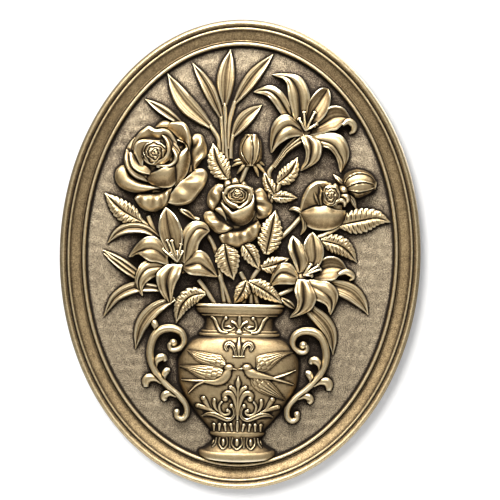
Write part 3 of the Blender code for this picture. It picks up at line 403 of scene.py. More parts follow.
    def roll(self, near, far, low, crown, flutes=0.0, depth=0.0, lean=0.0, rows=64, columns=21):
        """A petal rolled into a fat curl between two lines that share their ends. flutes are the
        waves along it, and lean turns them across it."""
        near = curve(line(near, low), rows)
        far = curve(line(far, low), rows)
        s = np.linspace(0, 1, rows)
        t = np.sin(np.linspace(-1, 1, columns) * math.pi / 2)
        s, t = np.meshgrid(s, t, indexing="ij")
        share = ((t + 1) / 2)[..., None]
        grid = near[:, None] * (1 - share) + far[:, None] * share
        taper = np.sin(math.pi * s).clip(0) ** 0.45
        waves = depth * np.cos(2 * math.pi * flutes * s + lean * t) * (1 - t**2)
        grid[..., 2] += taper * (crown * rounded(t) + waves)
        self.shell(grid)

    def heart(self, centre, halves, rise, crown, step, turns, seed=0.0, rows=46, sectors=90):
        """The wound petals in the middle of a rose: thin lips in a spiral, each steep inside and
        sloping outside."""
        share = np.linspace(1, 0.03, rows)
        angle = np.linspace(0, 2 * math.pi, sectors, endpoint=False)
        share, angle = np.meshgrid(share, angle, indexing="ij")
        wobble = 0.42 * np.abs(np.sin(1.5 * angle + seed + 2.2 * share))
        wobble += 0.16 * np.sin(2 * angle + 2 * seed)
        wobble += 0.13 * np.sin(5 * angle + 9 * share + seed) + 0.07 * np.sin(9 * angle - 4 * share)
        phase = (turns * share + angle / (2 * math.pi) + wobble) % 1.0
        sloped = np.where(phase < 0.78, 1 - phase / 0.78, (phase - 0.78) / 0.22)
        grid = np.empty(share.shape + (3,))
        grid[..., 0] = centre[0] + halves[0] * share * np.cos(angle)
        grid[..., 1] = centre[1] + halves[1] * share * np.sin(angle)
        grid[..., 2] = rise + crown * (1 - share**2) + step * sloped * (0.35 + 0.65 * share)
        self.shell(grid, closed=True)

    def make(self):
        """The finished mesh object: every shell joined where they overlap."""
        objects = []
        for number, (points, faces) in enumerate(self.shells):
            above = points + (0, 0, FIELD)
            objects.append(mesh_object(f"{self.name}_{number}", above, faces, weld=True))
        body = objects[0]
        bpy.context.scene.collection.objects.link(body)
        if len(objects) > 1:
            rest = bpy.data.collections.new(self.name)
            bpy.context.scene.collection.children.link(rest)
            for thing in objects[1:]:
                rest.objects.link(thing)
            union = body.modifiers.new("union", "BOOLEAN")
            union.operation = "UNION"
            union.operand_type = "COLLECTION"
            union.collection = rest
            union.solver = "MANIFOLD"
            apply_modifiers(body)
            for thing in objects[1:]:
                bpy.data.objects.remove(thing, do_unlink=True)
            bpy.data.collections.remove(rest)
        body.name = self.name
        body.data.name = self.name
        return body


# Sections of a band: the height, 0 to 1, at t, which is -1 and 1 at its edges
def rounded(t):
    return np.clip(1 - np.abs(t) ** 2.6, 0, 1) ** 0.6


def folded(t):
    return rounded(t) * (1 - 0.65 * bump(t, 0, 0.2))


def ridged(t):
    return 1 - np.abs(t) ** 1.5


def gutter(t):
    """Two sides that rise from a midrib to the rims."""
    return np.clip(1 - np.abs(t) ** 8, 0, 1) ** 0.5 * (0.25 + 0.75 * np.abs(t))


# A leaf's width from its base to its tip, as shares of its greatest width
SLENDER = (0.3, 0.75, 1.0, 0.95, 0.6, 0.0)
BROAD = (0.25, 0.85, 1.0, 0.85, 0.5, 0.0)

# How far apart a serrated leaf's side veins are
VEIN_SPACE = 4.2


def blade_lines(s, t):
    """Fine lengthwise lines of a slender leaf, and its sunk midrib."""
    side = np.abs(t)
    return (0.16 * np.cos(2 * math.pi * side / 0.3) - 0.35 * bump(side, 0, 0.07)) * np.clip(1.5 - s, 0, 1)


def leaf_veins(count):
    """A serrated leaf's face: pillows between sunk side veins, on each side of a sunk midrib."""
    def detail(s, t):
        side = np.abs(t)
        vein = s * count - side * VEIN_LEAN
        pillow = np.abs(np.sin(math.pi * vein)) ** 0.7
        outer = np.clip(side * 4 - 0.3, 0, 1)
        small = 0.16 * np.cos(2 * math.pi * (2.3 * vein + 2 * side)) + 0.2 * np.sin(7 * s + 9 * t)
        rib = 0.45 * bump(side, 0.13, 0.06) - 0.9 * bump(side, 0, 0.055)
        return (outer * (0.66 * pillow + small - 0.2) + rib) * np.clip(1.3 - s, 0, 1)
    return detail


def blade(piece, spine, width, rise, crown=2.7, rows=60):
    piece.band(spine, [width * s for s in SLENDER], rise, crown, gutter, rows, 33, blade_lines)


def leaf(piece, spine, width, height, crown=2.0):
    rise = (height, height + 0.5, height - 0.5, height - 1.5)
    length = sum(math.dist(a, b) for a, b in zip(spine, spine[1:]))
    count = max(5, round(length / VEIN_SPACE))
    piece.band(spine, [width * s for s in BROAD], rise, crown, folded, 16 * count, 33,
               leaf_veins(count), teeth=count)


def top_leaves():
    piece = Piece("top_leaves")
    blades = (
        (((-15.5, 124.5), (-15, 147), (-11.5, 170)), 13.3),
        (((-7, 126), (7, 147), (24, 167)), 10.0),
        (((-8, 98.5), (2, 113), (15.5, 124.5)), 10.8),
        (((-18, 113.5), (-29, 137), (-43, 158.5)), 9.2),
        (((-27, 106), (-49, 126), (-63.5, 149)), 13.3),
        (((-50, 107), (-66, 118), (-81.5, 127.5)), 6.7),
    )
    for spine, width in blades:
        blade(piece, spine, width, (2.6, 3.8, 3, 1.5))
    stalks = (
        ((-15.5, 125), (-14.5, 104), (-13.5, 87), (-10, 60)),
        ((-7, 127), (-11.5, 108), (-11.5, 88)),
        ((-8, 99), (-9.5, 92), (-9.5, 80)),
        ((-18, 114), (-16.5, 100), (-16, 84)),
        ((-27, 106.5), (-20, 95), (-18.5, 82)),
    )
    for spine in stalks:
        piece.stem(spine, (2.5, 2.5))
    return piece.make()


def low_leaves():
    piece = Piece("low_leaves")
    blades = (
        (((-68, 13), (-80, 19.5), (-93, 20), (-103, 15.5), (-110.5, 7)), 8.0),
        (((-79, -25), (-98, -12.5), (-113.5, -1.5)), 4.6),
        (((-79, -21), (-98, -8), (-114, 1.2)), 4.6),
        (((-62, -31), (-74, -29), (-88, -29.5), (-103, -38), (-112.5, -54)), 8.5),
        (((-54, -38), (-70, -47), (-81, -61), (-85.5, -80.5)), 10.5),
        (((68, -22), (80, -25), (93, -30), (102, -38.5), (107.5, -48)), 13.0),
        (((52, -37), (61, -46), (71, -55.5), (77, -66), (79, -82)), 11.5),
        (((35, -36), (42, -40.5), (47.5, -45)), 4.5),
        (((-38.5, 28.5), (-45, 33.5), (-52, 37)), 3.8),
    )
    for spine, width in blades:
        blade(piece, spine, width, (3.5, 4.2, 3.4, 1.5))
    return piece.make()


def rose_leaves():
    piece = Piece("rose_leaves")
    leaves = (
        (((-83, 26), (-99, 35), (-113.5, 48.5)), 16.7, 3.5),
        (((-12, 62.5), (-20.5, 76), (-24.5, 91.5)), 17.5, 4.5),
        (((30, 60), (40, 69), (46, 81.5)), 14.2, 3.5),
        (((27.5, 50), (22, 60), (18.5, 69.5)), 9.2, 3.5),
        (((25.5, 48), (35, 48.5), (46.5, 48)), 9.5, 4.0),
        (((21.5, 1), (25, 18), (28.5, 37)), 20.0, 6.0),
        (((82, 26), (99.5, 30), (113, 32.5), (124, 29.5)), 20.5, 3.5),
        (((67, 13), (82, 9.5), (90, 4), (97, -4.5)), 15.5, 3.5),
        (((-28.5, -33), (-40, -35.5), (-48, -44), (-52, -58)), 14.5, 4.0),
        (((18.5, -11), (30, -7.5), (40.5, -2.5)), 13.3, 5.0),
        (((8, -22.5), (22, -30), (35.5, -39.5)), 14.0, 6.0),
        (((5.5, -22), (2.5, -31), (-4, -41)), 12.5, 6.0),
        (((-13, 8), (-10, -6), (-5, -21)), 20.5, 7.0),
        (((2, 9), (9, 0), (16, -12)), 13.5, 6.5),
    )
    for spine, width, height in leaves:
        leaf(piece, spine, width, height)
    stalks = (
        ((61, 14), (73, 19.5), (84, 26.5)),
        ((33, 14), (42, 23), (50.5, 33)),
        ((-34, -22), (-28, -30), (-20, -42)),
        ((-28, 17), (-21, 4), (-16, -17), (-12, -42)),
        ((-17, -18), (-12, -30), (-7.5, -42)),
        ((8, -24), (5.5, -32), (3.5, -42)),
        ((8.5, -24), (9.5, -32), (10, -42)),
        ((18, -9), (12, -17), (9, -25)),
        ((9.5, -24), (13, -33), (15.5, -42)),
        ((0.5, -15), (4, -21), (7, -25)),
        ((32, 60), (28, 51), (23.5, 43)),
        ((-83, 26.5), (-76, 20), (-70, 11)),
        ((-77, 30), (-72, 18), (-67, 10)),
        ((-50, 36), (-43, 31), (-35, 28)),
        ((28, -36), (36, -31.5), (46, -27)),
    )
    for spine in stalks:
        piece.stem(spine, (3, 3))
    return piece.make()


def large_rose():
    """The open rose at the upper left, from its outer petals to its heart."""
    piece = Piece("large_rose")
    piece.dome((-69, 76), (29, 27), 2.5, 3)
    piece.roll(
        [(-72, 104), (-67, 103.5), (-60, 103), (-56, 104.5)],
        [(-72, 104.5), (-68, 108.5), (-63, 109.5), (-56, 107)], 3, 3.5,
    )
    piece.roll(
        [(-42.5, 95), (-41, 89), (-42.5, 83.5), (-42, 77), (-40, 69.5)],
        [(-42, 96), (-39, 99), (-34, 98), (-31.5, 93), (-30, 87.5), (-30.5, 81), (-34, 77), (-39.5, 69)],
        3.5, 5.2, 2.6, 1.2, 1.2,
    )
    piece.crescent(
        [(-64.5, 105), (-59, 101.5), (-53.5, 96.5), (-49, 93), (-47, 87.5), (-44.5, 80)],
        [(-64, 106), (-58, 108.5), (-50, 108.5), (-46, 104.5), (-44, 99), (-43, 93.5), (-43.5, 88),
         (-44.5, 80)],
        (5, 7, 6), (8, 11, 11, 8), 2.2, 3.5, 0, 1.5, 0.5,
    )
    piece.crescent(
        [(-61, 43), (-57.5, 50), (-51, 58.5), (-45, 63), (-39, 68.5)],
        [(-61, 42), (-53, 40), (-42.5, 42.5), (-35, 51), (-30.5, 58.5), (-29, 66), (-32.5, 70), (-39, 69.5)],
        (6, 7.5, 6), (6, 8.5, 8), 2.2, 3.5, 1.8, 3.2, 0.85, 64,
    )
    piece.roll(
        [(-88.5, 45), (-84.5, 48.5), (-78, 48.5), (-69.5, 49), (-63.5, 51.5), (-58, 55.5)],
        [(-88.5, 44.5), (-83.5, 38), (-77.5, 35), (-70.5, 35), (-64.5, 38), (-60.5, 42.5), (-57.5, 54.5)],
        4, 4.9, 3.8, 0.95, 1.0,
    )
    piece.crescent(
        [(-90, 85), (-86.5, 90), (-81.5, 92), (-75.5, 92.5), (-65.5, 92.5), (-61, 92), (-55, 91)],
        [(-91, 85), (-90, 91), (-86, 98.5), (-82, 102), (-78, 104.5), (-72, 102), (-65, 102.5),
         (-60, 100), (-55, 92)],
        (7.5, 8.5, 8.5), (10, 11, 12.5, 11), 1.6, 3.0, 0, 3.2, 0.5, 60,
    )
    piece.roll(
        [(-103, 69), (-99.5, 71.5), (-95.5, 70.5), (-93, 64), (-88, 60), (-82, 57.5), (-74, 55.5),
         (-67, 54)],
        [(-103.5, 68.5), (-105, 64), (-104, 58.5), (-100, 54), (-93, 51), (-84, 50), (-74.5, 52),
         (-67, 53.8)],
        5, 6.0, 0, 0,
    )
    piece.dome((-71, 79), (20, 19), 9, 2)
    piece.crescent(
        [(-95, 84), (-92, 77), (-89, 71), (-82, 66.5), (-78, 61.5)],
        [(-96, 85), (-97.5, 77), (-95, 69), (-89, 62.5), (-78.5, 59)],
        (8, 9.5, 9, 8), (11, 12.5, 12.5, 10), 1.0, 3.0,
    )
    piece.crescent(
        [(-92, 82), (-88, 77), (-84.5, 73.5), (-79, 70.5), (-74.5, 66)],
        [(-93, 82.5), (-93, 75.5), (-90.5, 70), (-84, 66), (-74.5, 64.5)],
        (11, 12, 12, 11), (13, 14.8, 14.8, 13), 0.9, 2.4,
    )
    piece.crescent(
        [(-55, 56), (-49, 62), (-45.5, 67.5), (-43.5, 76.5), (-44, 83.5), (-47, 90.5), (-54, 94)],
        [(-55.5, 57), (-55.5, 66), (-55, 73), (-53, 79.5), (-50, 84), (-46.5, 87.5), (-48.5, 91.5),
         (-54, 94)],
        (6, 8, 8.5, 8, 8), (9, 14, 14.5, 13, 10), 0.9, 2.6, 1.2,
    )
    piece.crescent(
        [(-79, 61), (-75.5, 57.5), (-69.5, 55), (-63, 54.5), (-58, 55.5), (-54.5, 60), (-53.5, 67.5),
         (-54, 77)],
        [(-79, 61.5), (-75.5, 65.5), (-70, 68), (-64, 71.5), (-58, 73), (-54.5, 77.5)],
        (8, 8, 8, 9, 10), (12, 15.5, 16.5, 14.5), 0.9, 2.6, 1.4,
    )
    piece.crescent(
        [(-61, 91.5), (-56, 87), (-52.5, 82.5), (-52.5, 76.5), (-57, 72), (-63, 69.5), (-70.5, 71)],
        [(-61, 91.5), (-58.5, 85.5), (-56, 81), (-56.5, 76.5), (-59.5, 73.5), (-64.5, 72.5), (-70.5, 73)],
        (12, 13, 13.5, 14), (13.5, 16.5, 17, 15.5), 0.8, 2.2, 0.6,
    )
    piece.crescent(
        [(-69.5, 99.5), (-62, 96), (-58.5, 89.5), (-58.5, 83), (-61, 77.5), (-66, 74), (-73, 74)],
        [(-69.5, 99.5), (-65.5, 95.5), (-62.5, 90), (-62, 84.5), (-64, 80), (-68, 77), (-73, 76)],
        (9.5, 13, 14, 14.5), (11.5, 17, 17.8, 16), 0.8, 2.2, 0.5,
    )
    piece.crescent(
        [(-82.5, 72), (-82, 78), (-81, 83), (-78.5, 86.5), (-75.5, 88.5), (-69, 91.5)],
        [(-84, 72), (-87.5, 78.5), (-89.5, 83.5), (-89, 89), (-85.5, 92.5), (-80, 93.5), (-69, 92.5)],
        (13, 13.5, 13.5), (14.5, 16.8, 16.5, 15), 1.2, 3.5, -0.4,
    )
    piece.heart((-72.8, 82.3), (10.2, 9.4), 13.6, 2.6, 1.9, 3.6, 0.7)
    return piece.make()


def centre_rose():
    """The rose in the middle, half open, over its ring of rolled petals."""
    piece = Piece("centre_rose")
    piece.dome((-3.5, 36), (18.5, 22), 4, 3)
    piece.roll([(-14, 56), (-12, 55), (-8, 57)], [(-14, 56.5), (-13.5, 60), (-10.5, 61), (-8, 58)], 5, 3.5)
    piece.roll([(-8.5, 58), (-6, 57), (-2, 58)], [(-8.5, 58.5), (-7.5, 62), (-4.5, 62.8), (-2, 59)], 5, 4)
    piece.roll([(-1.5, 56.5), (1.5, 56), (5, 56.5)], [(-1.5, 57), (1.5, 60), (5, 57)], 5, 3.2)
    piece.roll(
        [(-15, 57), (-14.5, 51), (-16.5, 45), (-19, 41), (-22.5, 36.5)],
        [(-15.5, 57.5), (-20, 57.5), (-24.5, 54), (-27.5, 49), (-28, 42.5), (-26, 38.5), (-23, 36.3)],
        4.5, 4.8, 2.3, 1.3, 1.2,
    )
    piece.roll(
        [(11, 52), (10, 48), (10, 42.5), (12, 37.5), (12.5, 31.5)],
        [(11.5, 53), (16, 55), (19.5, 51.5), (22.5, 45.5), (25.5, 41), (24.5, 35), (21, 31.5), (16, 30),
         (13, 31)],
        4.5, 5.2, 2.8, 1.3, -1.0,
    )
    piece.roll(
        [(-22, 37), (-18, 33), (-14, 30), (-12, 27)], [(-22, 37.5), (-17.5, 39), (-13, 36), (-12, 27.5)],
        6, 3,
    )
    piece.roll(
        [(-25, 35.2), (-22, 33.5), (-17.5, 28.5), (-11, 25), (-6, 22)],
        [(-25.5, 35.3), (-29.5, 34), (-30.5, 31), (-28.5, 25.5), (-23.5, 20.5), (-19, 17.5), (-13, 17),
         (-8.5, 19), (-6, 21.5)],
        5, 5.6, 2.3, 1.3, 0.8,
    )
    piece.roll(
        [(-17.5, 14.5), (-12, 19.5), (-5, 19.5), (2, 21), (7, 24.5), (14.5, 28)],
        [(-17.5, 14), (-14, 8.5), (-7, 6), (1, 7), (8, 10.5), (14, 15.5), (17, 22), (14.5, 27.5)],
        5, 6.0, 3.6, 1.3, 0.8,
    )
    piece.dome((-3.5, 42), (12.5, 15), 8, 2)
    piece.crescent(
        [(-17, 43), (-15, 35.5), (-10, 29.5), (-5, 25.5), (1, 24.5), (6.5, 27), (10.5, 32.5), (11.5, 39.5),
         (11, 46.5), (9, 55)],
        [(-17, 43.5), (-13.5, 40.5), (-10, 37.5), (-7, 35), (-1.5, 37.5), (3, 39.5), (7, 42), (9, 45.5),
         (9.5, 50), (8.5, 55)],
        (7, 7.5, 8, 8), (11, 14.5, 15, 13), 0.8, 2.4, 1.6, 0, 0, 64,
    )
    piece.crescent(
        [(-15.5, 51), (-14.5, 45.5), (-10, 40.5), (-5, 37.5), (-1, 37), (4.5, 39.5), (8, 44), (8, 51)],
        [(-15, 51), (-12.5, 46.5), (-9, 43.5), (-4.5, 41.5), (-1.5, 39.5), (2, 42), (5, 45), (6.5, 51)],
        (11, 12, 12.5, 12), (13, 15, 16, 14), 0.8, 2.2,
    )
    piece.crescent(
        [(-14, 49), (-8, 53), (-2, 53), (3, 53), (7, 49)],
        [(-14.5, 49), (-12.5, 55), (-5, 57.5), (2.5, 57), (8.5, 54.5), (9, 49)],
        (11, 11.5, 11.5), (13, 14, 14), 0.8, 2.6,
    )
    piece.heart((-3.2, 49.5), (7.6, 6.6), 11.5, 2.4, 1.6, 3.0, 2.1, 40, 80)
    return piece.make()


def right_rose():
    """The half-open rose on the right, lying on its side, with two curled sepals."""
    piece = Piece("right_rose")
    piece.dome((67.5, 42), (16, 18), 4, 4)
    piece.roll([(69, 59.5), (72, 57.5), (76, 57)], [(69, 60), (73.5, 60.5), (76, 57.5)], 7, 3)
    piece.roll([(74.5, 57), (78, 54), (82, 51)], [(74.5, 57.5), (78, 60), (80.5, 56), (82, 51.5)], 7, 3.2)
    piece.crescent(
        [(51, 36.5), (56, 41), (61, 43), (66, 44.5), (67.5, 50.5), (69.5, 56), (74, 58.5)],
        [(49.5, 36.5), (50, 43.5), (52, 50.5), (56, 57.5), (61.5, 61.5), (66, 62), (70.5, 61.5), (74, 59)],
        (6, 8.5, 9.5, 9), (9, 12.5, 12.5, 11), 1.6, 4.0, -0.8, 2.2, 0.35, 64,
    )
    piece.band(((64, 59.5), (66, 54), (65.5, 48), (66.5, 42.5)), (0.4, 2.2, 2.4, 2, 0.4),
               (9.5, 11, 11.5, 11), 2.2,
               ridged, 36, 11)
    piece.band(((60, 57), (60.5, 52.5), (62, 48), (64.5, 43)), (0.4, 2.4, 2.6, 2, 0.4), (9, 10, 10.5, 10),
               1.8,
               ridged, 36, 11)
    piece.dome((73.5, 49.5), (8.5, 9), 8.5, 1.5)
    piece.heart((74, 50.3), (7.4, 8.2), 11.2, 2.4, 1.5, 2.9, 4.0, 40, 80)
    piece.crescent(
        [(49.3, 36.3), (50.2, 31.5), (53.3, 26.8), (58.5, 23.3), (64.5, 21.9), (71.5, 21.9), (78, 23.6),
         (83, 27),
         (86.2, 32), (86.5, 37)],
        [(49.5, 36.5), (56, 39), (61, 40.8), (66, 41), (70, 41.8), (73.5, 40.5), (78, 39), (86.5, 38)],
        (5, 6, 6, 5), (9, 12.2, 13, 11.5), 0.9, 2.6, 2.6, 0, 0, 60,
    )
    piece.band(((78.5, 42), (79.5, 45), (82.5, 46.8), (85.5, 45.5), (85.8, 41.5)), (1, 3, 3.6, 3, 0.6),
               (8, 9.5, 8), 3,
               rounded, 36, 13)
    piece.band(((81, 48.5), (84, 50.5), (87.3, 49.8), (87.8, 46.5), (85.5, 44)), (1, 3, 3.6, 3, 0.6),
               (7, 9, 7.5), 3,
               rounded, 36, 13)
    piece.band(((51.5, 34.5), (48.5, 37.5), (44, 39), (40, 38)), (1.6, 2.6, 2.8, 2, 0), (5, 6, 4), 1.6,
               folded, 36, 15)
    piece.band(((49.5, 35), (52.5, 29), (52.8, 23), (50, 17.5)), (1.6, 2.6, 3, 2.2, 0), (5, 6, 4), 1.6,
               folded, 36, 15)
    return piece.make()


def wraps(*seams):
    """Petals wrapped round a bud: at each seam, given by its place across at the start, middle
    and end, a raised lip with a groove beside it. The tips are crinkled at the start."""
    def detail(s, t):
        total = 0.8 * bump(s, 0, 0.13) * np.cos(9 * t + 14 * s)
        for seam in seams:
            away = t - spread(seam, s)
            total = total + 0.75 * bump(away, -0.07, 0.06) - 1.1 * bump(away, 0.03, 0.045)
        return total
    return detail


def buds():
    piece = Piece("buds")
    piece.band(
        ((7, 99.5), (7, 87), (7, 74)), (10.5, 15.5, 17.8, 18.6, 18.6, 17, 9), (2, 3, 2), 8, rounded, 70, 45,
        wraps((0.05, 0.2, 0.1), (-0.55, -0.82, -0.3), (0.9, 0.75, 0.5)),
    )
    piece.stem(((5.5, 76), (2.5, 68.5), (-0.5, 60)), (3, 3))
    for spine in (
        ((4, 75.5), (-1.5, 76.5), (-8.5, 73)),
        ((4, 76), (-1.5, 78.5), (-7, 77.5)),
        ((4, 75), (0.5, 73), (-4, 67)),
        ((9, 75), (11.5, 71.5), (14, 65)),
        ((9, 75.5), (13.5, 74.5), (19.5, 67.5)),
        ((9, 76), (13, 78), (18.5, 74.5)),
    ):
        piece.band(spine, (1.2, 1.9, 1.6, 0), (4, 4.5, 2.5), 1.2, ridged, 30, 9)
    piece.band(
        ((111.5, 59.5), (101, 61), (92, 60), (85.5, 57)), (6.5, 15.5, 20.5, 23, 23, 19.5, 8), (2, 3, 2),
        9, rounded, 70, 45,
        wraps((-0.1, -0.05, 0.1), (0.62, 0.66, 0.5), (-0.75, -0.72, -0.5)),
    )
    piece.dome((84.8, 55.2), (4.0, 3.9), 5, 6, 30, 12)
    piece.dome((81.3, 53.0), (3.2, 3.0), 4, 5, 26, 10)
    piece.band(((86, 59), (81, 63.5), (76, 68)), (1.5, 2.8, 2.2, 0), (4, 5, 3), 1.4, folded, 30, 13)
    piece.band(((88.5, 52), (92.5, 47), (95.5, 40)), (1.5, 3.2, 2.6, 0), (4, 5, 3), 1.4, folded, 30, 13)
    return piece.make()


def stamens(piece, throat, ends, height):
    """Filaments out of a lily's throat, each with its anther across the end."""
    for end in ends:
        middle = ((throat[0] + end[0]) / 2, (throat[1] + end[1]) / 2)
        piece.band((throat, middle, end), (0.8, 0.8, 0.8), (height, height + 1.2, height), 0.5, rows=14,
                   columns=7)
        lean = math.atan2(end[1] - throat[1], end[0] - throat[0]) + math.pi / 2
        reach = (1.15 * math.cos(lean), 1.15 * math.sin(lean))
        piece.band(
            ((end[0] - reach[0], end[1] - reach[1]), (end[0] + reach[0], end[1] + reach[1])),
            (0.7, 1.3, 0.7), (height + 0.2, height + 0.2), 0.7, rows=12, columns=9,
        )


def lily_above():
    """The lily at the upper right, with its ribbed trumpet and stalk."""
    piece = Piece("lily_above")
    piece.dome((50, 102), (7, 7), 3, 3.5)
    piece.band(
        ((51, 100), (38, 89.5), (31.5, 81), (26.5, 73.5)), (11, 7.5, 5, 3.5), (3, 3), 4, rounded, 44, 37,
        lambda s, t: 0.5 * np.cos(3 * math.pi * t),
    )
    piece.stem(((27.5, 75.5), (22.5, 68), (24, 55), (22, 43)), (3, 3))
    piece.petal(
        [(51, 108), (53.5, 124.5), (58, 133), (64, 139), (70, 139.5)],
        [(52.5, 107), (57.5, 118.5), (64, 129), (70, 139)],
        [(54.5, 106.5), (64, 112.5), (70, 121), (72, 131), (70.5, 139.5)],
        (6, 8, 8, 4), (5, 4.8, 4.8, 3), -0.5, wave=0.2,
    )
    piece.petal(
        [(47, 105.5), (42.5, 114.5), (38, 130), (35, 145), (24, 149.5)],
        [(48, 107), (47, 124.5), (44.5, 138), (37, 147.5), (24, 150)],
        [(50, 109), (54, 124), (54, 136), (45, 149), (24, 150.5)],
        (6, 8, 9, 3), (5, 8, 9, 3),
    )
    piece.petal(
        [(38, 111), (31, 118.5), (24.5, 127.5), (18.5, 133), (8.5, 135)],
        [(40, 113), (33.5, 124), (27.5, 132), (19.5, 136.5), (8.5, 135.3)],
        [(42.5, 115), (36.5, 129), (30, 136.5), (21.5, 140.5), (8.5, 135.6)],
        (5, 8, 8, 3), (5, 8, 9, 3),
    )
    piece.petal(
        [(56, 107), (65.5, 116.5), (71, 123), (78, 124.5), (84, 122), (89, 115)],
        [(53, 102.5), (65.5, 109.5), (75, 115), (83.5, 116), (89.5, 114)],
        [(51, 99.5), (65, 102), (72, 104.5), (78, 105.5), (83, 110.5), (90, 113)],
        (5, 8, 8.5, 7), (4, 3.6, 4.2, 6.5), -0.8, wave=0.2,
    )
    piece.band(((83, 109.5), (87.5, 112.5), (92, 109.5), (92, 105), (89, 102.5)), (2, 4, 4.5, 3.5, 1),
               (8, 6, 3), 1.5)
    piece.petal(
        [(55, 99.5), (68.5, 101.5), (76, 102), (83, 99), (87.5, 91), (88, 82), (82, 70)],
        [(55, 97.5), (66.5, 95.5), (75, 92.5), (80.5, 85.5), (84, 77.5), (82, 70)],
        [(55, 95), (64.5, 91.5), (71.5, 90), (77, 84.5), (80, 78), (81.5, 70)],
        (5, 7, 7, 3), (6, 9, 9, 3),
    )
    piece.petal(
        [(47.5, 100), (50.5, 93.5), (53, 86.5), (52.5, 79), (48.5, 71)],
        [(53.5, 100), (57, 91.5), (57, 84), (54.5, 76), (49, 70.7)],
        [(59, 98.5), (64.5, 94), (65.5, 87), (62, 78.5), (49.5, 70.5)],
        (7, 9, 9, 3), (7, 9.5, 9.5, 3), 1.8,
    )
    piece.petal(
        [(49, 105.5), (42.5, 112.5), (37, 116), (30, 114.5), (24, 105), (23.5, 85)],
        [(49.5, 103), (40.5, 107.5), (33, 105), (27.5, 98), (24, 85)],
        [(51, 100), (41, 98.5), (34, 95), (28, 90), (24.5, 84.5)],
        (7, 11, 11, 4), (7, 12, 12, 4), 1.8,
    )
    stamens(piece, (52, 104), ((50.5, 119), (46.5, 113.5), (59.5, 119), (61.5, 109.5), (59.5, 108)), 9)
    return piece.make()


def lily_left():
    piece = Piece("lily_left")
    piece.dome((-50, -10), (8, 7), 3, 3.5)
    piece.petal(
        [(-61, -7), (-74.5, -6), (-82, -10), (-86, -19.5), (-86, -28), (-80.5, -36)],
        [(-62, -11.5), (-75, -13), (-81.5, -18.5), (-84, -26.5), (-80.5, -36)],
        [(-63, -16), (-72, -20.5), (-78, -25), (-81, -31), (-80, -36)],
        (5, 8, 8, 3), (6, 10, 10, 3),
    )
    piece.petal(
        [(-54, -7), (-63.5, 7), (-67.5, 18.5), (-67, 28.5), (-63, 37.5)],
        [(-52, -7.5), (-56, 6), (-59.5, 19), (-61.5, 29), (-62.5, 37.5)],
        [(-50, -7), (-48.5, 8), (-49, 19.5), (-54.5, 30.5), (-62, 37.5)],
        (7, 11, 11, 6), (5, 8, 8, 6), 0,
    )
    piece.petal(
        [(-48.5, -6.5), (-48, 9.5), (-46.5, 19.5), (-41, 25.5), (-34.5, 26.5), (-29, 24.5), (-25.5, 19)],
        [(-46, -8), (-44, 7), (-39.5, 16.5), (-34, 21), (-26, 19)],
        [(-43, -8.5), (-36.5, 1.5), (-34.5, 8.5), (-31, 14), (-26, 18.5)],
        (7, 10, 10, 7), (8, 12, 12, 7),
    )
    piece.petal(
        [(-46.5, -8), (-41, -2.5), (-35.5, 2), (-29, 0.5), (-24, -6.5), (-19, -18.5)],
        [(-46.5, -11), (-35, -8.5), (-28, -12), (-19, -18.8)],
        [(-46.5, -13), (-41.5, -17), (-31, -18), (-19.5, -19.2)],
        (7, 10, 9, 4), (7, 10.5, 9.5, 4), 1.8,
    )
    piece.petal(
        [(-60, -1), (-66, 9), (-72, 13), (-79, 12), (-85.5, 6.5), (-92, -3)],
        [(-60.5, -5), (-68.5, 1.5), (-76, 3), (-83, 1), (-92.3, -4)],
        [(-59.5, -10), (-68.5, -7.5), (-74.5, -7), (-80, -4), (-85, -1), (-92, -5)],
        (7, 11, 11, 4), (7, 12, 12, 4),
    )
    piece.petal(
        [(-60, -10), (-68, -16.5), (-68.5, -23.5), (-65, -33), (-57.5, -42.5)],
        [(-54.5, -9.5), (-59, -17.5), (-60.5, -25.5), (-59, -34), (-57, -42.8)],
        [(-48, -10), (-50, -18.5), (-53.5, -26), (-55.5, -33.5), (-56.5, -42.5)],
        (8, 11, 10, 4), (8, 11.5, 10.5, 4), 1.8,
    )
    ends = ((-61, 10.5), (-57, 10), (-49, 7.5), (-52, 1.5), (-47.5, 1.5), (-64.5, 3), (-58, 0))
    stamens(piece, (-52, -7), ends, 9.5)
    return piece.make()


